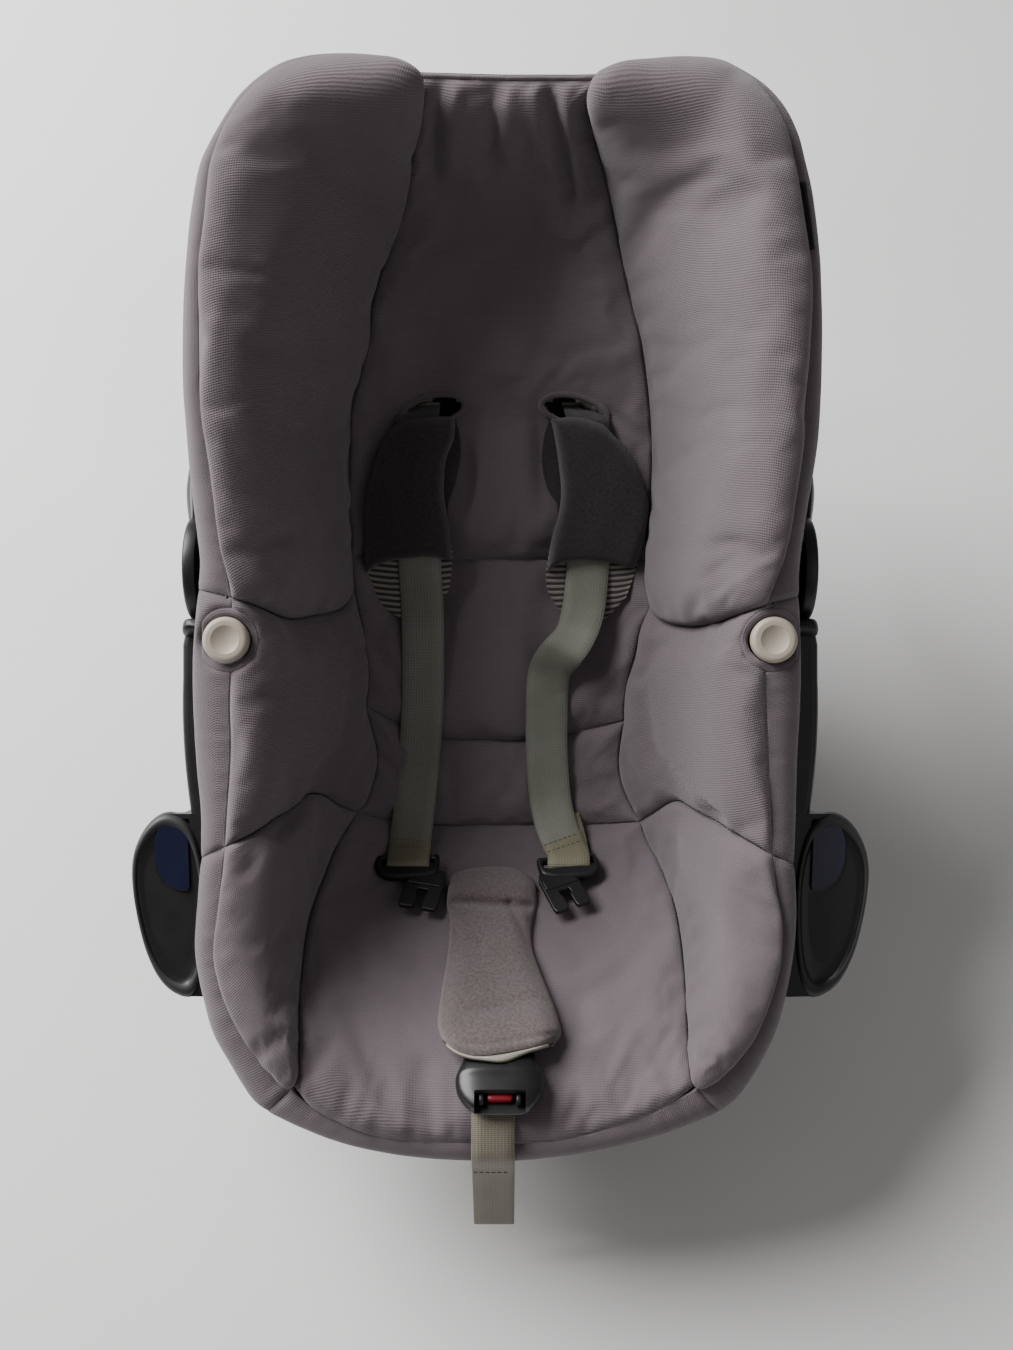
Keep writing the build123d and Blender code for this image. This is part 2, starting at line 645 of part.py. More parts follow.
keep("buckle_back", buckle_half(0.1, 9, False))
keep("buckle_front", buckle_half(-9, -0.1, True))
with BuildPart() as buckle_button:
    with BuildSketch(BUCKLE.offset(-10.2)):
        with Locations((0, -140)):
            RectangleRounded(26, 18, 4)
    extrude(amount=6.2)
    fillet(buckle_button.faces().sort_by(Axis((0, 0, 0), tuple(NRM)))[0].edges(), 1.2)
keep("buckle_button", buckle_button.part)
keep("buckle_spring", coil(Plane(origin=BUCKLE.from_local_coords((0, -136, -3)), x_dir=(1, 0, 0), z_dir=tuple(NRM)),
                           3.4, 0.5, 6.4, 4))
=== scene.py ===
import bpy
import math
import numpy as np
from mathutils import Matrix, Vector
from mathutils.bvhtree import BVHTree

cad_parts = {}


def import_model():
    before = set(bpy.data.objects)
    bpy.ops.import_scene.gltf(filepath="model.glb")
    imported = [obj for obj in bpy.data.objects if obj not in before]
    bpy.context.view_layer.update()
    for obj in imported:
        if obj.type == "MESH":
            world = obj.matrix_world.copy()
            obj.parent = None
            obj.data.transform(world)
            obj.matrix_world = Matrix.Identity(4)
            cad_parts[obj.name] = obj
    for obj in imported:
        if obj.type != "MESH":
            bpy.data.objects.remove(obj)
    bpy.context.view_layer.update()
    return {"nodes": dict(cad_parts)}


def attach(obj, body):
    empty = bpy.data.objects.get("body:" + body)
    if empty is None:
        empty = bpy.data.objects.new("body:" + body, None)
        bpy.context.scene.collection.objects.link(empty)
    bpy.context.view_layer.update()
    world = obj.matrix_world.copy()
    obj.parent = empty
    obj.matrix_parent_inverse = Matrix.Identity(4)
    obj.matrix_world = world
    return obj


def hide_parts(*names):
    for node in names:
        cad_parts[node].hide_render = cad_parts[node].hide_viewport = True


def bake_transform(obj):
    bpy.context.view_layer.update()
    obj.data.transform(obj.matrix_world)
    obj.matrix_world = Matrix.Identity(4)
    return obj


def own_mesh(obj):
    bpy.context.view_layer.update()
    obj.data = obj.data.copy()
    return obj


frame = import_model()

NODES = frame["nodes"]
scene = bpy.context.scene
rng = np.random.default_rng(7)

# ------------------------------------------------------------------ the seat's own frame, in mm: x across, v along to the head, w out of the seat
TILT = math.radians(28.0)
ORIGIN = np.array([0.0, -70.45, 270.0])
AX = np.array([[1.0, 0, 0], [0, math.cos(TILT), math.sin(TILT)], [0, -math.sin(TILT), math.cos(TILT)]])
CAM_D, CAM_F, CAM_X = 800.0, 1400.0, 3.7
CX, CY = 506.5, 675.0


def world(p):
    """(x, v, w) in mm to the shared frame in metres."""
    return (ORIGIN + np.asarray(p, float) @ AX) / 1000.0


def lift(px, py, w):
    """Where the sight line through a place in the picture meets the height w."""
    k = (CAM_D - w) / CAM_F
    return (px - CX) * k + CAM_X, (CY - py) * k


def table(pairs, blur=9.0):
    """A smooth curve through pairs (v, value)."""
    v = np.arange(-330.0, 400.0, 1.0)
    y = np.interp(v, [p[0] for p in pairs], [p[1] for p in pairs])
    k = np.exp(-0.5 * (np.arange(-30, 31) / blur) ** 2)
    k /= k.sum()
    y = np.convolve(np.pad(y, 30, mode="edge"), k, mode="valid")
    return lambda q: np.interp(q, v, y)


HALF = table([(-275, 22), (-268, 34), (-262, 66), (-255.5, 86), (-247.5, 103), (-234, 119), (-223, 131.7), (-208.6, 143),
              (-185.7, 154), (-157, 161), (-129, 159), (-99, 157), (-48.6, 153.7), (-14, 153), (42.7, 153.8), (65, 158.5),
              (104, 164.8), (154, 169.6), (209, 170.5), (256, 166), (297, 159), (322, 148), (333, 140), (350, 128)], 6)
RIM = table([(-285, -5), (-268, -4), (-243, -3), (-195, 0), (-155, -2), (-112, -4), (-75, -4), (0, 0), (100, 13), (190, 25),
             (255, 28), (305, 22), (332, 13), (350, 6)], 12)
FLOOR = table([(-285, -5), (-268, -5), (-262, -6), (-250, -13), (-235, -27), (-215, -49), (-190, -78), (-160, -110), (-140, -132),
               (-122, -147), (-105, -152), (-85, -152), (-60, -150), (-10, -144), (40, -138), (100, -130), (160, -119),
               (200, -109), (240, -95), (275, -75), (300, -52), (316, -29), (326, -10), (334, 0), (343, 4), (352, 6)], 6)


def hollow(x, v):
    """Height of the padded hollow, before the panels are stuffed."""
    t, hp = np.abs(x), HALF(v)
    he = np.maximum(hp - 12.0, 6.0)
    x1 = 0.9637 * he
    k = np.clip((v - 110.0) / 130.0, 0, 1)
    wall = (np.minimum(t, x1) / he) ** (4.4 - 1.5 * k * k * (3 - 2 * k))
    u = np.clip((t - x1) / np.maximum(hp - x1, 1e-3), 0, 1)
    top = (x1 / he) ** (4.4 - 1.5 * k * k * (3 - 2 * k))
    q = np.where(t < x1, wall, top + (1 - top) * (1 - (1 - u) ** 2))
    return FLOOR(v) + (RIM(v) - FLOOR(v)) * q


def settle(px, py):
    """Places in the picture to (x, v, w) on the hollow."""
    px, py = np.asarray(px, float), np.asarray(py, float)
    lo, hi = np.full(px.shape, -215.0), np.full(px.shape, 45.0)
    for _ in range(40):
        mid = (lo + hi) / 2
        x, v = lift(px, py, mid)
        above = mid > hollow(x, v)
        hi, lo = np.where(above, mid, hi), np.where(above, lo, mid)
    x, v = lift(px, py, hi)
    return np.stack([x, v, hi], -1)


# ------------------------------------------------------------------ curves and grids
def through(pts, n, closed=False, dense=24):
    """n points, evenly spaced, on a smooth line through pts."""
    p = np.array(pts, float)
    if closed:
        ext = np.vstack([p[-1:], p, p[:2]])
    else:
        ext = np.vstack([2 * p[0] - p[1], p, 2 * p[-1] - p[-2]])
    out = []
    t = np.linspace(0, 1, dense, endpoint=False)[:, None]
    for i in range(1, len(ext) - 2):
        a, b, c, d = ext[i - 1:i + 3]
        out.append(0.5 * (2 * b + (c - a) * t + (2 * a - 5 * b + 4 * c - d) * t ** 2 + (3 * b - a - 3 * c + d) * t ** 3))
    out.append(ext[-2:-1])
    q = np.vstack(out)
    s = np.r_[0, np.cumsum(np.linalg.norm(np.diff(q, axis=0), axis=1))]
    at = np.linspace(0, s[-1], n, endpoint=not closed)
    return np.stack([np.interp(at, s, q[:, k]) for k in range(q.shape[1])], 1)


def coons(top, bottom, left, right):
    """A grid between four edges that share corners: rows run from top to bottom, columns from left to right."""
    ns, nt = len(top), len(left)
    s, t = np.linspace(0, 1, ns)[None, :, None], np.linspace(0, 1, nt)[:, None, None]
    a = (1 - t) * top[None] + t * bottom[None]
    b = (1 - s) * left[:, None] + s * right[:, None]
    c = (1 - s) * (1 - t) * top[0] + s * (1 - t) * top[-1] + (1 - s) * t * bottom[0] + s * t * bottom[-1]
    return a + b - c


def normals(g, closed_s=False):
    ds = np.gradient(g, axis=1)
    dt = np.gradient(g, axis=0)
    n = np.cross(ds, dt)
    return n / np.maximum(np.linalg.norm(n, axis=-1, keepdims=True), 1e-9)


def lengths(g):
    """Distance along each row and each column of a grid."""
    u = np.zeros(g.shape[:2])
    v = np.zeros(g.shape[:2])
    u[:, 1:] = np.cumsum(np.linalg.norm(np.diff(g, axis=1), axis=-1), axis=1)
    v[1:] = np.cumsum(np.linalg.norm(np.diff(g, axis=0), axis=-1), axis=0)
    return np.stack([u, v], -1)


def new_object(name, verts, faces, uv=None, smooth=True):
    mesh = bpy.data.meshes.new(name)
    mesh.from_pydata([tuple(p) for p in verts], [], [tuple(f) for f in faces])
    if uv is not None:
        layer = mesh.uv_layers.new(name="cloth")
        idx = np.zeros(len(mesh.loops), np.int32)
        mesh.loops.foreach_get("vertex_index", idx)
        layer.data.foreach_set("uv", np.asarray(uv, np.float32)[idx].ravel())
    mesh.polygons.foreach_set("use_smooth", [smooth] * len(mesh.polygons))
    mesh.update()
    o = bpy.data.objects.new(name, mesh)
    scene.collection.objects.link(o)
    return o


def grid_faces(nt, ns, drop=None, flip=False, wrap=False):
    f = []
    for i in range(nt - 1):
        for j in range(ns if wrap else ns - 1):
            if drop is not None and drop[i, j]:
                continue
            k = (j + 1) % ns
            q = (i * ns + j, i * ns + k, (i + 1) * ns + k, (i + 1) * ns + j)
            f.append(q[::-1] if flip else q)
    return f


def far(p, line):
    """Distance of places p to a line of points, and how far along the line each nearest point is."""
    flat = p.reshape(-1, p.shape[-1])
    d = np.linalg.norm(flat[:, None] - line[None], axis=-1)
    k = d.argmin(1)
    return d.min(1).reshape(p.shape[:-1]), (k / max(len(line) - 1, 1)).reshape(p.shape[:-1])


def ripple(n_along, wave, seed):
    """An uneven ripple along a seam, as a function of the distance along it."""
    r = np.random.default_rng(seed)
    parts = [(wave * f, r.uniform(0, 6.28), r.uniform(0.6, 1.0)) for f in (0.75, 1.0, 1.37, 2.1)]
    return sum(a * np.sin(2 * np.pi * n_along / w + ph) for w, ph, a in parts) / 2.2


def piece(o, body, slot, *nodes, pad=None):
    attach(o, body)
    if nodes:
        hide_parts(*nodes)
    return o


# ------------------------------------------------------------------ materials
class Shade:
    def __init__(self, name, rough=0.6, **sockets):
        self.m = bpy.data.materials.new(name)
        self.m.use_nodes = True
        self.t = self.m.node_tree
        self.b = self.t.nodes["Principled BSDF"]
        self.b.inputs["Roughness"].default_value = rough
        for k, v in sockets.items():
            self.b.inputs[k.replace("_", " ")].default_value = v

    def node(self, kind, **props):
        n = self.t.nodes.new(kind)
        for k, v in props.items():
            setattr(n, k, v)
        return n

    def link(self, a, b):
        self.t.links.new(a, b)

    def math(self, op, a, b=None, c=None):
        n = self.node("ShaderNodeMath", operation=op)
        for i, x in enumerate((a, b, c)):
            if x is None:
                continue
            if hasattr(x, "is_output"):
                self.link(x, n.inputs[i])
            else:
                n.inputs[i].default_value = x
        return n.outputs[0]

    def noise(self, vector, scale, detail=3.0, rough=0.55):
        n = self.node("ShaderNodeTexNoise")
        n.inputs["Scale"].default_value = scale
        n.inputs["Detail"].default_value = detail
        n.inputs["Roughness"].default_value = rough
        if vector is not None:
            self.link(vector, n.inputs["Vector"])
        return n.outputs["Fac"]

    def ramp(self, fac, stops):
        n = self.node("ShaderNodeValToRGB")
        e = n.color_ramp.elements
        while len(e) < len(stops):
            e.new(0.5)
        for i, (p, c) in enumerate(stops):
            e[i].position = p
            e[i].color = (*c, 1)
        self.link(fac, n.inputs["Fac"])
        return n.outputs["Color"]

    def mix(self, fac, a, b, mode="MIX"):
        n = self.node("ShaderNodeMix", data_type="RGBA", blend_type=mode)
        for s, x in ((n.inputs["Factor"], fac), (n.inputs[6], a), (n.inputs[7], b)):
            if hasattr(x, "is_output"):
                self.link(x, s)
            elif isinstance(x, (int, float)):
                s.default_value = x
            else:
                s.default_value = (*x, 1)
        return n.outputs[2]

    def bump(self, height, strength, distance, under=None):
        n = self.node("ShaderNodeBump")
        n.inputs["Strength"].default_value = strength
        n.inputs["Distance"].default_value = distance
        self.link(height, n.inputs["Height"])
        if under is not None:
            self.link(under, n.inputs["Normal"])
        return n.outputs["Normal"]

    def colour(self, c):
        if hasattr(c, "is_output"):
            self.link(c, self.b.inputs["Base Color"])
        else:
            self.b.inputs["Base Color"].default_value = (*c, 1)

    def coords(self):
        tc = self.node("ShaderNodeTexCoord")
        return tc.outputs["Object"], tc.outputs["UV"]


def srgb(r, g, b):
    f = lambda c: (c / 255 / 12.92) if c / 255 <= 0.04045 else ((c / 255 + 0.055) / 1.055) ** 2.4
    return (f(r), f(g), f(b))


def woven(name, light, dark, pitch, thread, rib=0.55, bump=0.5, rough=0.92, sheen=0.25, fade=0.10, slant=0.0):
    """Ribbed cloth: ribs across the piece, threads crossing them, uneven yarn and soft fading. UV is in metres."""
    s = Shade(name, rough)
    s.b.inputs["Sheen Weight"].default_value = sheen
    s.b.inputs["Sheen Roughness"].default_value = 0.5
    obj, uv = s.coords()
    sep = s.node("ShaderNodeSeparateXYZ")
    s.link(uv, sep.inputs[0])
    u, v = sep.outputs[0], sep.outputs[1]
    wob = s.math("MULTIPLY", s.math("SUBTRACT", s.noise(uv, 220.0, 2.0), 0.5), pitch * 0.55)
    v2 = s.math("ADD", v, wob)
    if slant:
        v2 = s.math("ADD", v2, s.math("MULTIPLY", u, slant))
    ribs = s.math("SINE", s.math("MULTIPLY", v2, 2 * math.pi / pitch))
    threads = s.math("SINE", s.math("MULTIPLY", u, 2 * math.pi / thread))
    yarn = s.math("SUBTRACT", s.noise(uv, 0.9 / thread, 2.0), 0.5)
    fac = s.math("ADD", 0.5, s.math("MULTIPLY", ribs, rib * 0.5))
    fac = s.math("ADD", fac, s.math("MULTIPLY", threads, 0.10))
    fac = s.math("ADD", fac, s.math("MULTIPLY", yarn, 0.55))
    base = s.ramp(fac, [(0.05, dark), (0.95, light)])
    soft = s.noise(obj, 14.0, 4.0, 0.6)
    worn = s.ramp(soft, [(0.25, (1 - fade,) * 3), (0.75, (1 + fade * 0.6,) * 3)])
    s.colour(s.mix(1.0, base, worn, "MULTIPLY"))
    h = s.math("ADD", s.math("MULTIPLY", ribs, 0.6), s.math("MULTIPLY", threads, 0.3))
    fine = s.bump(h, bump, pitch * 0.22)
    s.link(fine, s.b.inputs["Normal"])
    return s.m


def knitted(name, light, dark, size, bump=0.6, sheen=0.35, rough=0.95):
    """Close knit with speckled yarn: small loops in columns. UV is in metres."""
    s = Shade(name, rough)
    s.b.inputs["Sheen Weight"].default_value = sheen
    obj, uv = s.coords()
    sep = s.node("ShaderNodeSeparateXYZ")
    s.link(uv, sep.inputs[0])
    u, v = sep.outputs[0], sep.outputs[1]
    col = s.math("SINE", s.math("MULTIPLY", u, 2 * math.pi / size))
    zig = s.math("MULTIPLY", s.math("ABSOLUTE", col), size * 0.8)
    row = s.math("SINE", s.math("MULTIPLY", s.math("ADD", v, zig), 2 * math.pi / (size * 0.9)))
    speck = s.noise(uv, 0.55 / size, 3.0, 0.7)
    fac = s.math("ADD", s.math("MULTIPLY", row, 0.14), s.math("MULTIPLY", speck, 1.0))
    base = s.ramp(fac, [(0.3, dark), (0.72, light)])
    soft = s.noise(obj, 20.0, 3.0)
    s.colour(s.mix(1.0, base, s.ramp(soft, [(0.25, (0.86,) * 3), (0.75, (1.1,) * 3)]), "MULTIPLY"))
    h = s.math("ADD", s.math("MULTIPLY", row, 0.5), s.math("MULTIPLY", speck, 0.9))
    s.link(s.bump(h, bump, size * 0.35), s.b.inputs["Normal"])
    return s.m


def webbing(name, light, dark, half, pitch=0.0011):
    """Flat strap weave: fine cross ribs, a firm edge on both sides and a little grime. UV is in metres, u from the middle."""
    s = Shade(name, 0.55)
    s.b.inputs["Sheen Weight"].default_value = 0.15
    obj, uv = s.coords()
    sep = s.node("ShaderNodeSeparateXYZ")
    s.link(uv, sep.inputs[0])
    u, v = sep.outputs[0], sep.outputs[1]
    ribs = s.math("SINE", s.math("MULTIPLY", v, 2 * math.pi / pitch))
    lines = s.math("SINE", s.math("MULTIPLY", u, 2 * math.pi / 0.0019))
    edge = s.math("GREATER_THAN", s.math("ABSOLUTE", u), half - 0.0016)
    yarn = s.math("SUBTRACT", s.noise(uv, 900.0, 2.0), 0.5)
    fac = s.math("ADD", 0.55, s.math("MULTIPLY", ribs, 0.22))
    fac = s.math("ADD", fac, s.math("MULTIPLY", lines, 0.10))
    fac = s.math("ADD", fac, s.math("MULTIPLY", yarn, 0.5))
    fac = s.math("SUBTRACT", fac, s.math("MULTIPLY", edge, 0.22))
    base = s.ramp(fac, [(0.05, dark), (0.95, light)])
    soft = s.noise(obj, 26.0, 3.0)
    s.colour(s.mix(1.0, base, s.ramp(soft, [(0.3, (0.84, 0.82, 0.78)), (0.7, (1.05, 1.05, 1.05))]), "MULTIPLY"))
    h = s.math("ADD", s.math("MULTIPLY", ribs, 0.6), s.math("MULTIPLY", lines, 0.4))
    s.link(s.bump(h, 0.5, 0.00025), s.b.inputs["Normal"])
    return s.m


def moulded(name, colour, rough=0.5, grain=0.25, scale=1400.0, coat=0.0, edge=None):
    """Moulded plastic with a fine spark-eroded grain and slight handling marks."""
    s = Shade(name, rough)
    s.b.inputs["Coat Weight"].default_value = coat
    s.b.inputs["Coat Roughness"].default_value = 0.12
    obj, _ = s.coords()
    big = s.noise(obj, 30.0, 4.0, 0.6)
    tint = s.ramp(big, [(0.3, tuple(c * 0.86 for c in colour)), (0.7, tuple(min(1, c * 1.12) for c in colour))])
    s.colour(tint)
    r = s.math("ADD", rough - 0.10, s.math("MULTIPLY", s.noise(obj, 60.0, 5.0, 0.7), 0.2))
    s.link(r, s.b.inputs["Roughness"])
    s.link(s.bump(s.noise(obj, scale, 2.0), grain, 0.0002), s.b.inputs["Normal"])
    return s.m


def metal(name, colour, rough=0.3):
    s = Shade(name, rough, Metallic=1.0)
    obj, _ = s.coords()
    s.colour(s.ramp(s.noise(obj, 80.0, 4.0), [(0.3, tuple(c * 0.8 for c in colour)), (0.7, colour)]))
    s.link(s.math("ADD", rough - 0.08, s.math("MULTIPLY", s.noise(obj, 300.0), 0.16)), s.b.inputs["Roughness"])
    return s.m


M = {
    "cover": woven("cover_rib_cloth", srgb(123, 114, 119), srgb(88, 79, 84), 0.0014, 0.0009, rib=0.3),
    # dark seam cloth: painted shade for the shadow down inside each seam
    "seam": woven("seam_shade_cloth", srgb(50, 44, 47), srgb(32, 27, 29), 0.0014, 0.0009),
    "knit": knitted("charcoal_knit", srgb(62, 53, 56), srgb(26, 21, 23), 0.0012),
    "crotch": knitted("mauve_knit", srgb(124, 112, 112), srgb(76, 67, 67), 0.0011),
    "web": webbing("strap_webbing", srgb(140, 143, 133), srgb(100, 102, 93), 0.014),
    "webend": webbing("strap_end_webbing", srgb(142, 139, 118), srgb(102, 99, 82), 0.014),
    "pull": webbing("pull_webbing", srgb(140, 134, 119), srgb(98, 93, 80), 0.0125),
    "thread": woven("sewing_thread", srgb(120, 112, 96), srgb(80, 74, 62), 0.0008, 0.0005),
    "shell": moulded("shell_plastic", (0.012, 0.012, 0.013), 0.55, 0.35, 1100.0),
    "black": moulded("satin_black_plastic", (0.010, 0.010, 0.011), 0.42, 0.2),
    "gloss": moulded("gloss_black_plastic", (0.008, 0.008, 0.009), 0.40, 0.08, 1800.0, coat=0.1),
    "blue": moulded("deep_blue_plastic", (0.004, 0.006, 0.028), 0.32, 0.06, 1800.0, coat=0.2),
    "grey": moulded("worn_dark_grey_plastic", (0.035, 0.035, 0.037), 0.5, 0.3, 900.0),
    "beige": moulded("beige_plastic", srgb(176, 166, 152), 0.45, 0.15),
    "red": moulded("red_plastic", (0.26, 0.006, 0.018), 0.42, 0.08),
    "rubber": moulded("rubber", (0.018, 0.018, 0.018), 0.8, 0.5, 700.0),
    "steel": metal("steel", (0.55, 0.55, 0.56)),
    "foam": moulded("liner_foam", (0.62, 0.62, 0.60), 0.9, 0.8, 420.0),
    "tag": woven("plain_tag_cloth", (0.013, 0.012, 0.013), (0.006, 0.005, 0.006), 0.0008, 0.0008, rough=0.8),
    "satin": woven("pale_lining", srgb(176, 172, 160), srgb(128, 124, 114), 0.0010, 0.0007, rough=0.5, sheen=0.1),
}


def striped(name):
    """Pad lining with soft light and dark stripes across it. UV is in metres."""
    s = Shade(name, 0.95)
    s.b.inputs["Sheen Weight"].default_value = 0.3
    obj, uv = s.coords()
    sep = s.node("ShaderNodeSeparateXYZ")
    s.link(uv, sep.inputs[0])
    wob = s.math("MULTIPLY", s.math("SUBTRACT", s.noise(uv, 60.0), 0.5), 0.0012)
    band = s.math("SINE", s.math("MULTIPLY", s.math("ADD", sep.outputs[1], wob), 2 * math.pi / 0.0038))
    yarn = s.math("SUBTRACT", s.noise(uv, 1100.0, 2.0), 0.5)
    fac = s.math("ADD", s.math("ADD", 0.5, s.math("MULTIPLY", band, 0.9)), s.math("MULTIPLY", yarn, 0.6))
    s.colour(s.ramp(fac, [(0.25, srgb(54, 48, 49)), (0.75, srgb(132, 126, 121))]))
    s.link(s.bump(s.math("ADD", band, yarn), 0.5, 0.0003), s.b.inputs["Normal"])
    return s.m


M["stripe"] = striped("striped_lining")


def dress(o, *mats):
    o.data.materials.clear()
    for m in mats:
        o.data.materials.append(m)


# ------------------------------------------------------------------ camera, light and floor
cam = bpy.data.cameras.new("camera")
cam_o = bpy.data.objects.new("camera", cam)
scene.collection.objects.link(cam_o)
cam.sensor_fit = "VERTICAL"
cam.sensor_height = 36.0
cam.sensor_width = 36.0
cam.lens = 36.0 * CAM_F / 1350.0
cam.clip_start, cam.clip_end = 0.02, 50
cam_o.location = Vector(world((CAM_X, 0, CAM_D)))
cam_o.rotation_euler = (math.radians(28.0), 0, 0)
scene.camera = cam_o

wn = bpy.data.worlds.new("studio")
scene.world = wn
wn.use_nodes = True
wn.node_tree.nodes["Background"].inputs[0].default_value = (1.0, 0.97, 0.96, 1)
wn.node_tree.nodes["Background"].inputs[1].default_value = 0.15


def area(name, place, aim, size, power, colour):
    l = bpy.data.lights.new(name, "AREA")
    l.shape = "DISK"
    l.size = size
    l.energy = power
    l.color = colour
    o = bpy.data.objects.new(name, l)
    scene.collection.objects.link(o)
    o.location = place
    o.rotation_euler = (Vector(aim) - Vector(place)).to_track_quat("-Z", "Y").to_euler()


area("window", (-1.7, 1.0, 1.85), (0, 0, 0.25), 2.0, 160, (1.0, 0.99, 0.98))
area("fill", (1.5, -1.3, 1.9), (0, 0, 0.2), 2.2, 5, (1.0, 0.97, 0.95))

floor = new_object("floor", [(-6, -6, 0), (6, -6, 0), (6, 6, 0), (-6, 6, 0)], [(0, 1, 2, 3)])
fs = Shade("pale_floor", 0.8)
fo, _ = fs.coords()
fs.colour(fs.ramp(fs.noise(fo, 3.0, 4.0), [(0.3, (0.85, 0.845, 0.84)), (0.7, (0.90, 0.895, 0.89))]))
dress(floor, fs.m)

# ------------------------------------------------------------------ the padded cover: seams as they lie in the picture
hL_top = [(266, 82), (288, 71), (310, 64), (340, 61), (372, 62), (400, 66), (416, 78)]
hL_out = [(266, 82), (246, 101), (230, 124), (219, 146), (210, 172), (205, 216), (200, 264), (199, 320), (200, 384), (204, 428),
          (212, 476), (220, 528), (226, 564), (232, 598)]
hL_bot = [(232, 598), (256, 606), (276, 615), (292, 619), (312, 616), (336, 611), (346, 602), (353, 586)]
hL_in = [(416, 78), (420, 100), (418, 132), (412, 156), (404, 200), (396, 228), (382, 268), (372, 304), (367, 344), (360, 372),
         (353, 398), (350, 424), (349, 456), (349, 500), (351, 540), (353, 586)]
tL_out = [(232, 598), (232, 651), (230, 702), (231, 741), (230, 771), (227, 813), (225, 847)]
tL_in = [(353, 586), (361, 626), (365, 655), (367, 685), (366, 706), (371, 728), (376, 747), (377, 762), (374, 779), (366, 803), (357, 812)]
tL_bot = [(225, 847), (248, 835), (274, 818), (291, 805), (303, 795), (314, 793), (325, 796), (338, 805), (357, 812)]
gL_out = [(225, 847), (221, 890), (218, 924), (216, 950), (219, 971), (227, 997), (239, 1022), (261, 1054), (280, 1076), (291, 1089)]
gL_in = [(357, 812), (343, 834), (333, 852), (325, 873), (316, 896), (308, 922), (303, 954), (300, 984), (298, 1012), (298, 1044),
         (298, 1069), (294, 1086)]
hR_top = [(600, 80), (622, 70), (650, 66), (685, 64), (716, 68), (738, 78)]
hR_out = [(738, 78), (758, 92), (774, 112), (786, 136), (793, 164), (800, 200), (808, 252), (811, 288), (810, 336), (806, 392),
          (803, 440), (796, 480), (786, 536), (776, 576), (768, 604)]
hR_in = [(600, 80), (590, 100), (592, 124), (600, 156), (608, 188), (616, 224), (626, 276), (634, 312), (642, 344), (648, 388),
         (651, 424), (652, 464), (651, 500), (648, 540), (646, 576), (650, 606)]
hR_bot = [(650, 606), (664, 621), (684, 626), (708, 625), (736, 616), (768, 604)]
tR_in = [(650, 606), (641, 628), (636, 655), (629, 681), (625, 702), (624, 722), (621, 741), (619, 762), (622, 783), (630, 804), (640, 822)]
tR_out = [(768, 604), (766, 664), (767, 707), (769, 758), (771, 805), (773, 856)]
tR_bot = [(640, 822), (655, 813), (668, 804), (680, 801), (702, 813), (727, 828), (753, 843), (773, 856)]
gR_in = [(640, 822), (648, 843), (659, 864), (668, 886), (676, 909), (681, 937), (684, 963), (686, 992), (688, 1027), (690, 1065), (694, 1086)]
gR_out = [(773, 856), (777, 894), (781, 924), (779, 963), (766, 1005), (749, 1039), (723, 1069), (697, 1089)]
b_top = [(416, 78), (440, 79), (470, 80), (506, 81), (540, 81), (575, 81), (600, 80)]
b_bot = [(357, 812), (390, 820), (429, 824), (500, 825), (570, 825), (610, 824), (640, 822)]
s_bot = [(294, 1086), (312, 1108), (342, 1125), (376, 1137), (420, 1142), (470, 1143), (518, 1144), (565, 1140), (608, 1129),
         (651, 1114), (674, 1101), (694, 1086)]
seam_a = [(352, 556), (400, 559), (452, 560), (500, 560), (546, 560), (600, 561), (647, 560)]
seam_b = [(367, 706), (384, 717), (404, 725), (440, 737), (480, 739), (525, 740), (565, 734), (600, 727), (624, 721)]
back_l, back_r = through(hL_in + tL_in[1:], 800), through(hR_in + tR_in[1:], 800)


def stretch(line, a, b):
    """The part of a dense line between the places nearest to a and b."""
    i = np.linalg.norm(line - np.array(a), axis=1).argmin()
    j = np.linalg.norm(line - np.array(b), axis=1).argmin()
    return line[i:j + 1]


def meet(line, left, right):
    """A seam line with its ends moved onto the side seams."""
    i = np.linalg.norm(left - np.array(line[0]), axis=1).argmin()
    j = np.linalg.norm(right - np.array(line[-1]), axis=1).argmin()
    return [tuple(left[i])] + line[1:-1] + [tuple(right[j])]


seam_a, seam_b = meet(seam_a, back_l, back_r), meet(seam_b, back_l, back_r)

BUTTONS = [np.array([-156.0, 20.0]), np.array([156.0, 20.0])]


def button_dent(g):
    """The cover sinks round the two push buttons."""
    for b in BUTTONS:
        d = np.linalg.norm(g[..., :2] - b, axis=-1)
        near = d < 20
        sink = np.clip((17.2 - d) / 2.8, 0, 1)
        sink = sink * sink * (3 - 2 * sink)
        low = -9.5
        g[..., 2] = np.where(near, np.minimum(g[..., 2], g[..., 2] * (1 - sink) + low * sink), g[..., 2])
    return g


PANELS = {}


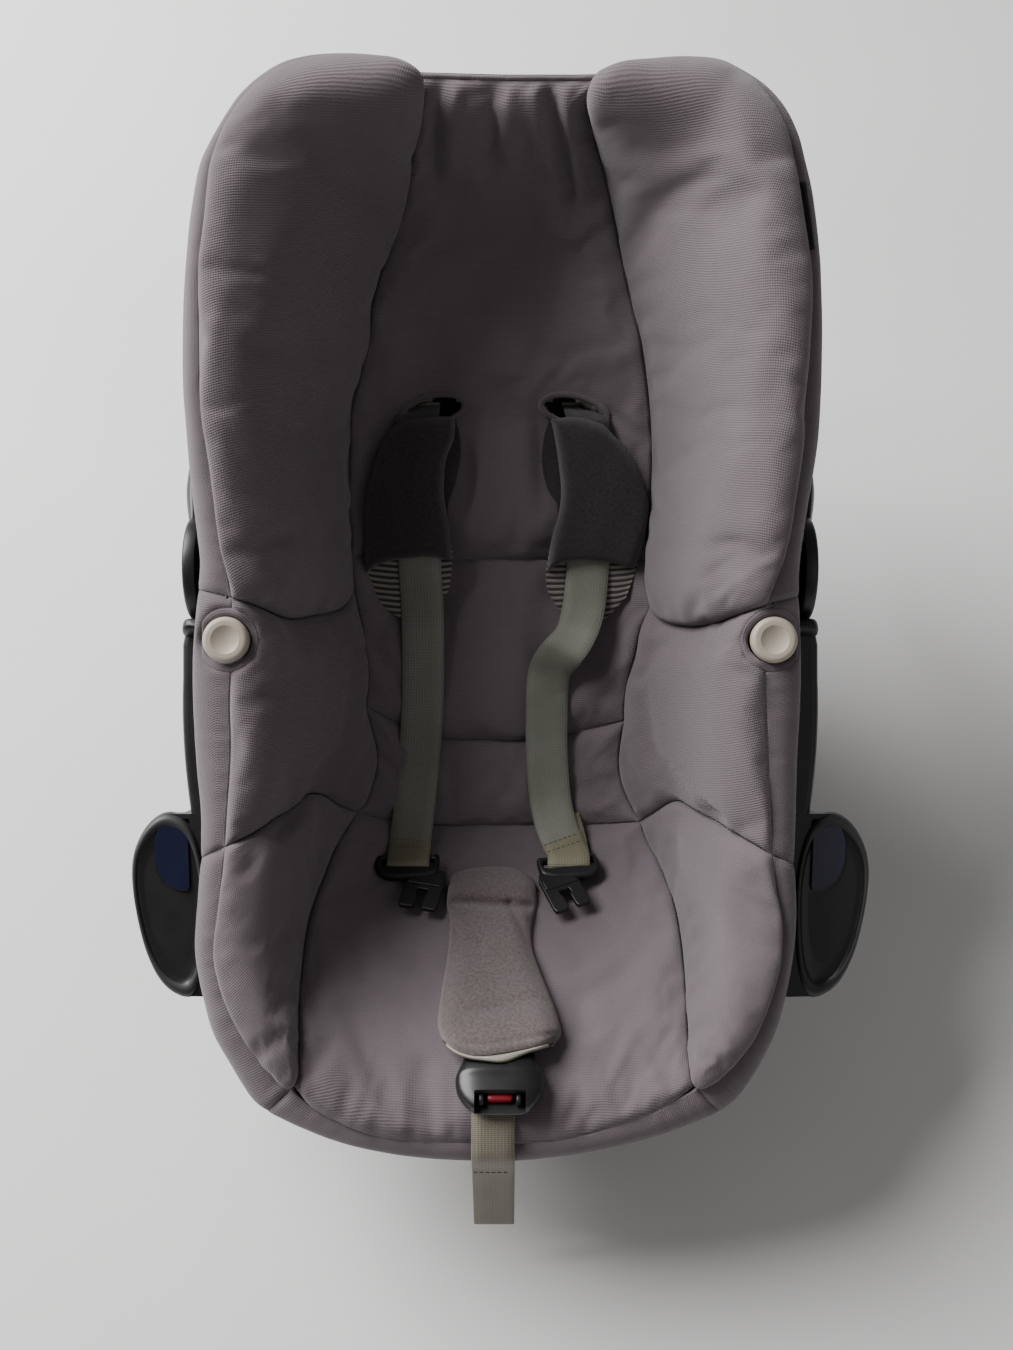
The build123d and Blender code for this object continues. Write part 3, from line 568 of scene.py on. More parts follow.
def stuffed(name, top, bottom, left, right, high, roll, step=3.6, folds=(), tucks=(), holes=(), fuller=None):
    """One sewn panel: its edges lie on the hollow, and the stuffing stands high above it, rolled over at the seams."""
    la = max(np.linalg.norm(np.diff(through(top, 200), axis=0), axis=1).sum(), np.linalg.norm(np.diff(through(bottom, 200), axis=0), axis=1).sum())
    lb = max(np.linalg.norm(np.diff(through(left, 200), axis=0), axis=1).sum(), np.linalg.norm(np.diff(through(right, 200), axis=0), axis=1).sum())
    ns, nt = max(8, int(la * 0.62 / step)), max(8, int(lb * 0.62 / step))
    e = [through(top, ns), through(bottom, ns), through(left, nt), through(right, nt)]
    g2 = coons(*e)
    g = settle(g2[..., 0], g2[..., 1])
    if fuller is not None:
        outer, inner, ends, more = fuller
        side = {"top": g[0], "bottom": g[-1], "left": g[:, 0], "right": g[:, -1]}
        to = sum(np.maximum(far(g, side[e_])[0], 1e-3) ** -2.5 for e_ in outer) ** -0.4
        ti = far(g, side[inner])[0]
        q = to / np.maximum(to + ti, 1e-6)
        rise = more * np.sin(np.pi * q ** 0.72)
        for e_ in ends:
            k = np.clip(far(g, side[e_])[0] / 55.0, 0, 1)
            rise = rise * np.sqrt(k * (2 - k))
        w = g[..., 2] + rise
        x, v = lift(g2[..., 0], g2[..., 1], w)
        g = np.stack([x, v, w], -1)
    n = normals(g)
    if n[..., 2].mean() < 0:
        n = -n
    ring = np.vstack([g[0], g[-1], g[:, 0], g[:, -1]])
    d, _ = far(g, ring)
    up = np.clip(d / roll, 0, 1)
    puff = high * np.sqrt(1 - (1 - up) ** 2)
    for line, wide, deep in folds:
        p = through(line, 60)
        dd, k = far(g2, p)
        dd = dd * 0.62
        ease = np.clip(np.minimum(k / 0.18, (1 - k) / 0.25), 0, 1)
        puff += deep * ease * np.exp(-(dd / wide) ** 2) * np.clip(d / 6.0, 0, 1)
    for edge, deep, wave, reach, seed in tucks:
        line = {"top": g[0], "bottom": g[-1], "left": g[:, 0], "right": g[:, -1]}[edge]
        dd, k = far(g, line)
        total = np.linalg.norm(np.diff(line, axis=0), axis=1).sum()
        puff += deep * ripple(k * total, wave, seed) * np.exp(-dd / reach) * np.clip(dd / 5.0, 0, 1) * np.clip(d / 5.0, 0, 1)
    out = button_dent(g + n * puff[..., None])
    drop = None
    if holes:
        mid = (g2[:-1, :-1] + g2[1:, 1:] + g2[:-1, 1:] + g2[1:, :-1]) / 4
        drop = np.zeros(mid.shape[:2], bool)
        for (hx, hy), (ra, rb), turn in holes:
            c, s = math.cos(math.radians(turn)), math.sin(math.radians(turn))
            dx, dy = mid[..., 0] - hx, mid[..., 1] - hy
            drop |= ((dx * c + dy * s) / ra) ** 2 + ((dy * c - dx * s) / rb) ** 2 < 1
    uv = lengths(g) / 1000.0
    faces = grid_faces(nt, ns, drop)
    v0 = world(out.reshape(-1, 3))
    a, b, c = (v0[i] for i in faces[len(faces) // 2][:3])
    if np.dot(np.cross(b - a, c - b), AX[2]) < 0:
        faces = grid_faces(nt, ns, drop, flip=True)
    o = new_object(name, v0, faces, uv.reshape(-1, 2))
    pin = o.vertex_groups.new(name="pin")
    edge_ids = [i * ns + j for i in range(nt) for j in range(ns) if i in (0, nt - 1) or j in (0, ns - 1)]
    for b in BUTTONS:
        edge_ids += list(np.nonzero(np.linalg.norm(out.reshape(-1, 3)[:, :2] - b, axis=1) < 21)[0])
    for (hx, hy), (ra, rb), turn in holes:
        c, s = math.cos(math.radians(turn)), math.sin(math.radians(turn))
        dx, dy = g2[..., 0] - hx, g2[..., 1] - hy
        close = ((dx * c + dy * s) / (ra + 9)) ** 2 + ((dy * c - dx * s) / (rb + 9)) ** 2 < 1
        edge_ids += list(np.nonzero(close.ravel())[0])
    pin.add([int(i) for i in edge_ids], 1.0, "REPLACE")
    dress(o, M["cover"])
    PANELS[name] = o
    return o


SLOTS = [((434, 411), (31, 13), -10), ((574, 412), (32, 13), 12)]
stuffed("head_bolster_left_cover", hL_top, hL_bot, hL_out, hL_in, 8, 30, fuller=(("left", "top"), "right", ("bottom",), 22),
        folds=[([(236, 560), (262, 540), (300, 532)], 7, -1.6), ([(346, 500), (322, 520), (300, 560)], 8, -1.6)],
        tucks=[("bottom", 1.3, 17, 16, 1), ("right", 1.1, 26, 14, 2), ("left", 0.7, 24, 10, 3)])
stuffed("head_bolster_right_cover", hR_top, hR_bot, hR_in, hR_out, 8, 30, fuller=(("right", "top"), "left", ("bottom",), 22),
        folds=[([(660, 560), (690, 548), (720, 556)], 8, -1.5), ([(770, 560), (740, 545), (716, 556)], 7, -1.5)],
        tucks=[("bottom", 1.3, 18, 16, 4), ("left", 1.1, 26, 14, 5), ("right", 0.7, 24, 10, 6)])
stuffed("torso_panel_left_cover", hL_bot, tL_bot, tL_out, tL_in, 7, 26, fuller=(("left",), "right", ("top", "bottom"), 7),
        folds=[([(340, 612), (342, 680), (330, 760)], 6, -2.2), ([(372, 740), (352, 762), (338, 798)], 4, -2.2)],
        tucks=[("top", 1.0, 16, 12, 7), ("right", 1.2, 16, 12, 8)])
stuffed("torso_panel_right_cover", hR_bot, tR_bot, tR_in, tR_out, 7, 26, fuller=(("right",), "left", ("top", "bottom"), 7),
        folds=[([(668, 626), (656, 690), (668, 790)], 6, -2.0), ([(624, 748), (640, 770), (656, 808)], 4, -2.0)],
        tucks=[("top", 1.0, 16, 12, 9), ("left", 1.2, 16, 12, 10)])
stuffed("thigh_bolster_left_cover", tL_bot, [(291, 1089), (294, 1086)], gL_out, gL_in, 8, 26, fuller=(("left",), "right", ("top", "bottom"), 8),
        folds=[([(322, 798), (312, 840), (300, 890)], 6, -2.0), ([(348, 816), (332, 836), (330, 850)], 4, -1.6)],
        tucks=[("right", 1.0, 20, 12, 11), ("left", 0.8, 22, 9, 12), ("top", 0.8, 20, 9, 13)])
stuffed("thigh_bolster_right_cover", tR_bot, [(694, 1086), (697, 1089)], gR_in, gR_out, 8, 26, fuller=(("right",), "left", ("top", "bottom"), 8),
        folds=[([(676, 806), (686, 850), (700, 890)], 6, -2.0)],
        tucks=[("left", 1.0, 20, 12, 14), ("right", 0.8, 22, 9, 15), ("top", 0.8, 20, 9, 16)])
stuffed("back_pad_upper_cover", b_top, seam_a, stretch(back_l, b_top[0], seam_a[0]), stretch(back_r, b_top[-1], seam_a[-1]), 6, 20,
        folds=[([(440, 66), (437, 120), (430, 190)], 6.0, -4.6), ([(456, 66), (453, 118), (447, 175)], 6.0, 2.4),
               ([(494, 66), (492, 115), (486, 186)], 6.5, -4.2), ([(510, 66), (508, 112), (503, 168)], 7.0, 2.2),
               ([(546, 66), (555, 120), (566, 170), (576, 230)], 5.0, -6.0), ([(562, 66), (572, 124), (585, 190)], 6.5, 3.0),
               ([(532, 68), (540, 120), (550, 176)], 6.5, 2.4), ([(600, 408), (624, 420), (652, 446)], 4, -2.4),
               ([(352, 440), (376, 424), (404, 408)], 4, -2.2), ([(470, 380), (500, 386), (530, 380)], 6, -1.2),
               ([(468, 396), (470, 450), (462, 520)], 6, -2.0), ([(540, 396), (540, 450), (541, 520)], 6, -2.0)],
        tucks=[("left", 1.1, 30, 16, 17), ("right", 1.1, 30, 16, 18), ("bottom", 0.8, 18, 10, 19)],
        holes=SLOTS)
stuffed("back_pad_middle_cover", seam_a, seam_b, stretch(back_l, seam_a[0], seam_b[0]), stretch(back_r, seam_a[-1], seam_b[-1]), 5, 18,
        folds=[([(470, 562), (474, 640), (478, 738)], 14, 1.2), ([(362, 640), (384, 660), (400, 700)], 5, -1.6)],
        tucks=[("bottom", 1.3, 15, 12, 20), ("left", 1.0, 20, 12, 21), ("right", 1.0, 20, 12, 22), ("top", 0.7, 16, 9, 23)])
stuffed("back_pad_lower_cover", seam_b, b_bot, stretch(back_l, seam_b[0], b_bot[0]), stretch(back_r, seam_b[-1], b_bot[-1]), 4.5, 15,
        folds=[([(372, 742), (384, 764), (398, 778)], 3.5, -2.2), ([(510, 800), (514, 772), (520, 745)], 6, -1.2)],
        tucks=[("top", 1.2, 16, 10, 24), ("left", 1.2, 15, 10, 25), ("right", 1.2, 15, 10, 26), ("bottom", 0.8, 18, 9, 27)])
stuffed("seat_pad_cover", b_bot, s_bot, gL_in, gR_in, 7, 24,
        folds=[([(306, 930), (330, 936), (352, 962), (366, 1000)], 8, -2.4), ([(302, 960), (326, 976), (340, 1002)], 7, -2.2),
               ([(678, 930), (652, 946), (622, 985), (600, 1010)], 9, -2.4), ([(668, 880), (640, 896), (606, 900)], 10, -1.6),
               ([(430, 1060), (424, 1092), (420, 1142)], 8, -2.2), ([(330, 1040), (316, 1064), (306, 1092)], 7, -2.0),
               ([(560, 1070), (574, 1100), (590, 1134)], 9, -2.0), ([(408, 826), (404, 850), (398, 880)], 8, -1.6),
               ([(590, 1050), (580, 1020), (572, 990)], 10, -1.8), ([(640, 1040), (664, 1068), (684, 1090)], 9, -1.6)],
        tucks=[("bottom", 1.7, 15, 12, 28), ("left", 1.1, 20, 12, 29), ("right", 1.1, 20, 12, 30), ("top", 0.8, 20, 9, 31)])

# ------------------------------------------------------------------ the rim: strips that turn over the shell's edge to a gathered hem
LOOP = [((506, 81), (506, 76)), ((470, 80), (470, 75)), ((440, 79), (440, 74)), ((416, 78), (415, 71)), ((400, 66), (398, 60)),
        ((372, 62), (370, 56)), ((340, 61), (338, 55)), ((310, 64), (305, 58)), ((288, 71), (281, 65)), ((266, 82), (258, 80)),
        ((246, 101), (238, 99)), ((230, 124), (221, 125)), ((219, 146), (209, 146)), ((210, 172), (199, 170)), ((205, 216), (191, 214)),
        ((200, 264), (186, 264)), ((199, 320), (183, 320)), ((200, 384), (183, 384)), ((204, 428), (186, 428)), ((212, 476), (190, 474)),
        ((220, 528), (196, 524)), ((226, 564), (200, 562)), ((232, 598), (198, 590)), ((232, 651), (193, 650)), ((230, 702), (193, 702)),
        ((231, 741), (195, 741)), ((230, 771), (197, 771)), ((227, 813), (201, 812)), ((225, 847), (201, 858)), ((221, 890), (198, 896)),
        ((218, 924), (196, 922)), ((216, 950), (195, 948)), ((219, 971), (198, 973)), ((227, 997), (204, 1001)), ((239, 1022), (214, 1035)),
        ((261, 1054), (232, 1067)), ((280, 1076), (250, 1096)), ((291, 1089), (266, 1111)), ((312, 1108), (296, 1125)), ((342, 1125), (334, 1140)),
        ((376, 1137), (374, 1150)), ((420, 1142), (419, 1157)), ((470, 1143), (470, 1160)), ((518, 1144), (518, 1160)), ((565, 1140), (567, 1155)),
        ((608, 1129), (614, 1147)), ((651, 1114), (660, 1135)), ((674, 1101), (690, 1124)), ((697, 1089), (720, 1112)), ((723, 1069), (742, 1092)),
        ((749, 1039), (764, 1056)), ((766, 1005), (780, 1018)), ((779, 963), (792, 962)), ((781, 924), (796, 922)), ((777, 894), (796, 894)),
        ((773, 856), (794, 864)), ((771, 805), (796, 805)), ((769, 758), (797, 762)), ((767, 707), (800, 707)), ((766, 664), (801, 664)),
        ((768, 604), (799, 596)), ((776, 576), (799, 572)), ((786, 536), (803, 536)), ((796, 480), (812, 480)), ((803, 440), (818, 440)),
        ((806, 392), (821, 390)), ((810, 336), (822, 332)), ((811, 288), (821, 288)), ((808, 252), (819, 250)), ((800, 200), (813, 198)),
        ((793, 164), (805, 162)), ((786, 136), (797, 133)), ((774, 112), (784, 108)), ((758, 92), (765, 87)), ((738, 78), (742, 72)),
        ((716, 68), (718, 61)), ((685, 64), (685, 58)), ((650, 66), (650, 60)), ((622, 70), (621, 63)), ((600, 80), (602, 73)),
        ((575, 81), (575, 76)), ((540, 81), (540, 76))]
STRIPS = {"rim_strip_head_left": (0, 22), "rim_strip_torso_left": (22, 28), "rim_strip_thigh_left": (28, 37), "rim_strip_foot": (37, 48),
          "rim_strip_thigh_right": (48, 55), "rim_strip_torso_right": (55, 60), "rim_strip_head_right": (60, 82)}
HEM = table([(-285, 33), (-230, 33), (-200, 27), (-150, 26), (100, 26), (130, 34), (180, 44), (320, 44), (350, 44)], 8)
RIMS = []
loop_in = through([p for p, _ in LOOP], len(LOOP) * 12, closed=True)
pairs = LOOP + [LOOP[0]]
for name, (i0, i1) in STRIPS.items():
    inn = [pairs[i][0] for i in range(i0, i1 + 1)]
    out = [pairs[i][1] for i in range(i0, i1 + 1)]
    n = max(12, int(np.linalg.norm(np.diff(np.array(out, float), axis=0), axis=1).sum() * 0.6 / 3.2))
    k = np.linspace(0, len(inn) - 1, n)

    def along(pts):
        d = np.array(pts, float)
        ext = np.vstack([2 * d[0] - d[1], d, 2 * d[-1] - d[-2]])
        i = np.clip(k.astype(int), 0, len(d) - 2)
        t = (k - i)[:, None]
        a, b, c, e = ext[i], ext[i + 1], ext[i + 2], ext[i + 3]
        return 0.5 * (2 * b + (c - a) * t + (2 * a - 5 * b + 4 * c - e) * t ** 2 + (3 * b - a - 3 * c + e) * t ** 3)

    pi, po = along(inn), along(out)
    a = settle(pi[:, 0], pi[:, 1])
    w = RIM(a[:, 1]) - 11.0
    x, v = lift(po[:, 0], po[:, 1], w)
    b = np.stack([x, v, w], -1)
    go = b[:, :2] - a[:, :2]
    gap = np.linalg.norm(go, axis=1)
    go = go / np.maximum(gap, 1e-6)[:, None]
    tang = np.gradient(b[:, :2], axis=0)
    tang /= np.maximum(np.linalg.norm(tang, axis=1), 1e-6)[:, None]
    nrm = np.stack([tang[:, 1], -tang[:, 0]], 1)
    nrm *= np.sign((nrm * go).sum(1))[:, None]
    drop = a[:, 2] - b[:, 2]
    hem = HEM(a[:, 1]) + RIM(a[:, 1]) * 0
    s = np.linspace(0, 1, n)
    total = np.linalg.norm(np.diff(b, axis=0), axis=1).sum()
    wave = ripple(s * total, 22, hash(i0) % 97 + 40)
    wave2 = ripple(s * total, 13, i0 + 300)
    wave, wave2 = wave * np.clip(np.minimum(s, 1 - s) * total / 9.0, 0, 1), wave2 * np.clip(np.minimum(s, 1 - s) * total / 9.0, 0, 1)
    ends = np.clip(np.minimum(s if i0 else 1.0, (1 - s) if i1 < len(LOOP) else 1.0) * total / 7.0, 0, 1)
    ends = np.sqrt(1 - (1 - ends) ** 2)
    rows = []
    prof = [(0.0, 0.0, 0), (0.12, 0.10, 1.2), (0.30, 0.16, 1.9), (0.52, 0.24, 2.0), (0.74, 0.42, 1.7), (0.92, 0.70, 1.2), (1.0, 1.0, 0.8)]
    for f, q, swell in prof:
        p = np.zeros((n, 3))
        p[:, :2] = a[:, :2] + go * (gap * f)[:, None]
        up = swell * (0.35 + 0.65 * ends)
        if f > 0:
            up = up - 1.5 * (1 - ends)
        p[:, 2] = a[:, 2] - drop * q + up + (0.45 * wave2 * (f > 0) * (1 - f) + 0.2 * wave * f)
        rows.append(p)
    for share, tuck in ((0.25, 0.6), (0.5, 0.4), (0.75, -0.8), (0.93, -2.6), (1.0, -5.0)):
        p = np.zeros((n, 3))
        p[:, :2] = b[:, :2] + nrm * (tuck + 0.55 * wave * share - 1.5 * (1 - ends))[:, None]
        p[:, 2] = b[:, 2] - (hem - 11.0) * share
        rows.append(p)
    g = np.stack(rows, 0)
    g = button_dent(g)
    uv = lengths(g) / 1000.0
    v0 = world(g.reshape(-1, 3))
    faces = grid_faces(g.shape[0], n)
    q = faces[len(faces) // 6]
    if np.dot(np.cross(v0[q[1]] - v0[q[0]], v0[q[2]] - v0[q[1]]), AX[2]) < 0:
        faces = grid_faces(g.shape[0], n, flip=True)
    o = new_object(name, v0, faces, uv.reshape(-1, 2)[:, ::-1])
    dress(o, M["cover"])
    RIMS.append(o)


# ------------------------------------------------------------------ stuffing by simulation: each panel is pinned at its seams and swells
def swell(objs, frames=16, press=1.6, grow=0.022, cap=4.5):
    rest = {}
    for o in objs:
        m = o.modifiers.new("stuff", "CLOTH")
        c = m.settings
        c.quality = 5
        c.mass = 0.12
        c.tension_stiffness = 18
        c.compression_stiffness = 18
        c.shear_stiffness = 6
        c.bending_stiffness = 0.35
        c.tension_damping = 12
        c.compression_damping = 12
        c.air_damping = 4
        c.vertex_group_mass = "pin"
        c.pin_stiffness = 1.0
        c.use_pressure = True
        c.uniform_pressure_force = press
        c.shrink_min = -grow
        c.effector_weights.gravity = 0
        m.collision_settings.use_collision = False
        m.collision_settings.use_self_collision = False
        m.point_cache.frame_start, m.point_cache.frame_end = 1, frames
        co = np.zeros(len(o.data.vertices) * 3, np.float32)
        o.data.vertices.foreach_get("co", co)
        rest[o.name] = co.reshape(-1, 3).astype(float)
    for f in range(1, frames + 1):
        scene.frame_set(f)
    dg = bpy.context.evaluated_depsgraph_get()
    done = {}
    for o in objs:
        e = o.evaluated_get(dg)
        co = np.zeros(len(e.data.vertices) * 3, np.float32)
        e.data.vertices.foreach_get("co", co)
        done[o.name] = co.reshape(-1, 3).astype(float)
    for o in objs:
        o.modifiers.clear()
        move = done[o.name] - rest[o.name]
        size = np.linalg.norm(move, axis=1, keepdims=True)
        lim = cap / 1000.0
        move = move * np.where(size > 1e-9, lim * np.tanh(size / lim) / np.maximum(size, 1e-9), 0)
        o.data.vertices.foreach_set("co", (rest[o.name] + move).astype(np.float32).ravel())
        o.data.update()
    scene.frame_set(1)


swell(list(PANELS.values()))


def thicken(o, thick, levels=1):
    if levels:
        s = o.modifiers.new("smooth", "SUBSURF")
        s.levels = s.render_levels = levels
        s.boundary_smooth = "PRESERVE_CORNERS"
    m = o.modifiers.new("thick", "SOLIDIFY")
    m.thickness = thick
    m.offset = -1.0
    m.use_rim = True


for name, o in PANELS.items():
    thicken(o, 0.0045)
    node = {"head_bolster_left_cover": ["head_bolster_left"], "head_bolster_right_cover": ["head_bolster_right"],
            "torso_panel_left_cover": ["torso_panel_left"], "torso_panel_right_cover": ["torso_panel_right"],
            "thigh_bolster_left_cover": ["thigh_bolster_left"], "thigh_bolster_right_cover": ["thigh_bolster_right"],
            "back_pad_upper_cover": ["back_pad"], "back_pad_middle_cover": ["back_pad"], "back_pad_lower_cover": ["back_pad"],
            "seat_pad_cover": ["seat_pad"]}[name]
    piece(o, "root", "cover_fabric", *node, pad=0.55)
for o in RIMS:
    thicken(o, 0.0022)
    piece(o, "root", "cover_fabric", "rim_roll", pad=0.4)

# ------------------------------------------------------------------ seam strips: dark cloth behind every seam, painted shade for the shadow down in each seam groove
def lay_seam_shade(name, line, half=3.2, sink=2.6, n=None):
    p2 = through(line, n or max(12, int(np.linalg.norm(np.diff(np.array(line, float), axis=0), axis=1).sum() / 6)))
    c = settle(p2[:, 0], p2[:, 1])
    t = np.gradient(c, axis=0)
    t /= np.linalg.norm(t, axis=1, keepdims=True)
    e = 0.5
    x, v = c[:, 0], c[:, 1]
    nrm = np.stack([-(hollow(x + e, v) - hollow(x - e, v)) / (2 * e), -(hollow(x, v + e) - hollow(x, v - e)) / (2 * e), np.ones(len(x))], 1)
    nrm /= np.linalg.norm(nrm, axis=1, keepdims=True)
    sd = np.cross(t, nrm)
    rows = np.stack([c - nrm * (sink - 1.0 * (1 - abs(f))) + sd * half * f for f in (-1, -0.4, 0.4, 1)], 0)
    g = button_dent(rows)
    faces = grid_faces(4, len(c))
    v0 = world(g.reshape(-1, 3))
    q = faces[len(faces) // 2]
    if np.dot(np.cross(v0[q[1]] - v0[q[0]], v0[q[2]] - v0[q[1]]), AX[2]) < 0:
        faces = grid_faces(4, len(c), flip=True)
    o = new_object(name, v0, faces, (lengths(g) / 1000).reshape(-1, 2))
    m = o.modifiers.new("thick", "SOLIDIFY")
    m.thickness, m.offset = 0.0008, -1.0
    # dark cloth colour here is painted shade in the seam groove
    dress(o, M["seam"])
    return piece(o, "root", "cover_fabric")


for i, line in enumerate([hL_out, hL_bot, hL_in + tL_in[1:], tL_out, tL_bot, gL_out, gL_in, hR_out, hR_bot, hR_in + tR_in[1:], tR_out, tR_bot,
                          gR_in, gR_out, b_top, b_bot, s_bot, seam_a, seam_b, hL_top, hR_top]):
    lay_seam_shade("seam_shade_strip_%02d" % i, line)


# ------------------------------------------------------------------ straps, pads and small hard pieces
def aim(px, py, p0, n):
    """Where the sight line through a place in the picture meets a plane."""
    px, py = np.asarray(px, float), np.asarray(py, float)
    c = np.array([CAM_X, 0.0, CAM_D])
    d = np.stack([(px - CX) / CAM_F, (CY - py) / CAM_F, -np.ones(px.shape)], -1)
    t = ((np.asarray(p0) - c) @ n) / (d @ n)
    return c + d * t[..., None]


def ribbon(name, pts, half, thick, mat, roll=None, n=90, edge=0.5, dense=True):
    """A flat strap along (x, v, w) points, with rolled edges; roll turns it about its own line, in degrees."""
    p = through(pts, n)
    t = np.gradient(p, axis=0)
    t /= np.linalg.norm(t, axis=1, keepdims=True)
    sx = np.array([1.0, 0, 0]) - t * t[:, :1]
    sx /= np.linalg.norm(sx, axis=1, keepdims=True)
    up = np.cross(sx, t)
    if up[len(up) // 3, 2] < 0:
        up = -up
    r = np.zeros(n) if roll is None else np.radians(np.interp(np.linspace(0, 1, n), [k for k, _ in roll], [a for _, a in roll]))
    a = sx * np.cos(r)[:, None] + up * np.sin(r)[:, None]
    b = up * np.cos(r)[:, None] - sx * np.sin(r)[:, None]
    h = thick / 2
    sec = [(-half, 0), (-half + edge * 0.4, h * 0.7), (-half + edge, h), (-half * 0.5, h * 1.05), (0, h * 1.08), (half * 0.5, h * 1.05), (half - edge, h),
           (half - edge * 0.4, h * 0.7), (half, 0), (half - edge * 0.4, -h * 0.7), (half - edge, -h), (0, -h), (-half + edge, -h), (-half + edge * 0.4, -h * 0.7)]
    g = np.stack([p + a * q + b * z for q, z in sec], 1)
    ns = len(sec)
    s = np.r_[0, np.cumsum(np.linalg.norm(np.diff(p, axis=0), axis=1))]
    uv = np.stack([np.broadcast_to(np.array([q for q, _ in sec]), (n, ns)), np.broadcast_to(s[:, None], (n, ns))], -1) / 1000.0
    faces = grid_faces(n, ns, wrap=True) + [tuple(range(ns))[::-1], tuple((n - 1) * ns + k for k in range(ns))]
    v0 = world(g.reshape(-1, 3))
    q = faces[(n // 2) * ns + 3]
    if np.dot(np.cross(v0[q[1]] - v0[q[0]], v0[q[2]] - v0[q[1]]), b[n // 2] @ AX) < 0:
        faces = [f[::-1] for f in faces]
    o = new_object(name, v0, faces, uv.reshape(-1, 2))
    dress(o, M[mat])
    return o, p, a, b


def stitches(name, lines, mat, radius=0.28, dash=2.4, gap=1.1):
    """Rows of sewn thread along lines of (x, v, w) points with the cloth's normal."""
    verts, faces, uvs = [], [], []
    for pts, nrm in lines:
        total = np.linalg.norm(np.diff(pts, axis=0), axis=1).sum()
        line = through(pts, max(8, int(total / 0.6))) if len(pts) > 2 else np.linspace(pts[0], pts[1], max(8, int(total / 0.6)))
        s = np.r_[0, np.cumsum(np.linalg.norm(np.diff(line, axis=0), axis=1))]
        k = 0.0
        while k + dash < s[-1]:
            e = [np.array([np.interp(k + dash * f, s, line[:, c]) for c in range(3)]) for f in (0, 0.25, 0.5, 0.75, 1.0)]
            t = (e[-1] - e[0]) / np.linalg.norm(e[-1] - e[0])
            up = np.asarray(nrm, float)
            sd = np.cross(t, up)
            base = len(verts)
            for f, q in zip((0.35, 0.9, 1.0, 0.9, 0.35), e):
                lift_ = radius * (0.2 if f < 0.5 else 0.9)
                for ang in range(6):
                    c, z = math.cos(ang * math.pi / 3), math.sin(ang * math.pi / 3)
                    verts.append(world(q + up * lift_ + (sd * c + up * z) * radius * f))
                    uvs.append((c * radius / 1000, (k + dash * f) / 1000))
            for i in range(4):
                for j in range(6):
                    m = (j + 1) % 6
                    faces.append((base + i * 6 + j, base + i * 6 + m, base + i * 6 + 6 + m, base + i * 6 + 6 + j))
            faces.append(tuple(base + j for j in range(6))[::-1])
            faces.append(tuple(base + 24 + j for j in range(6)))
            k += dash + gap
    o = new_object(name, verts, faces, np.array(uvs))
    dress(o, M[mat])
    return o


def cushion(name, top, bottom, left, right, place, nrm, high, low, round_, mats, step=2.2, shape=None, extra=None, flat_uv=True):
    """A closed pad between four edges in the picture, on a surface given by place: stuffed high above it and low below."""
    la = np.linalg.norm(np.diff(through(top, 60), axis=0), axis=1).sum()
    la = max(la, np.linalg.norm(np.diff(through(bottom, 60), axis=0), axis=1).sum())
    lb = np.linalg.norm(np.diff(through(left, 60), axis=0), axis=1).sum()
    ns, nt = max(10, int(la * 0.65 / step)), max(10, int(lb * 0.65 / step))
    g2 = coons(through(top, ns), through(bottom, ns), through(left, nt), through(right, nt))
    g = place(g2[..., 0], g2[..., 1])
    ring = np.vstack([g[0], g[-1], g[:, 0], g[:, -1]])
    d, _ = far(g, ring)
    k = np.clip(d / round_, 0, 1)
    prof = np.sqrt(1 - (1 - k) ** 2)
    hi_, lo_ = high * prof, low * prof
    if shape is not None:
        hi_, lo_ = shape(g, g2, d, hi_, lo_)
    if extra is not None:
        g = extra(g, g2, d)
    nv = np.asarray(nrm, float)
    a, b = g + nv * hi_[..., None], g - nv * lo_[..., None]
    uv = lengths(g) / 1000.0
    idx_a = np.arange(ns * nt).reshape(nt, ns)
    inner = np.zeros((nt, ns), bool)
    inner[1:-1, 1:-1] = True
    idx_b = idx_a.copy()
    idx_b[inner] = ns * nt + np.arange(inner.sum())
    verts = np.vstack([a.reshape(-1, 3), b[inner]])
    uvs = np.vstack([uv.reshape(-1, 2), uv[inner]])
    fa, fb = [], []
    for i in range(nt - 1):
        for j in range(ns - 1):
            fa.append((idx_a[i, j], idx_a[i, j + 1], idx_a[i + 1, j + 1], idx_a[i + 1, j]))
            fb.append((idx_b[i, j], idx_b[i + 1, j], idx_b[i + 1, j + 1], idx_b[i, j + 1]))
    v0 = world(verts)
    q = fa[len(fa) // 2]
    if np.dot(np.cross(v0[q[1]] - v0[q[0]], v0[q[2]] - v0[q[1]]), nv @ AX) < 0:
        fa, fb = [f[::-1] for f in fa], [f[::-1] for f in fb]
    o = new_object(name, v0, [tuple(int(i) for i in f) for f in fa + fb], uvs)
    dress(o, *[M[m] for m in mats])
    if len(mats) > 1:
        for i, f in enumerate(o.data.polygons):
            f.material_index = 0 if i < len(fa) else 1
    m = o.modifiers.new("smooth", "SUBSURF")
    m.levels = m.render_levels = 1
    return o


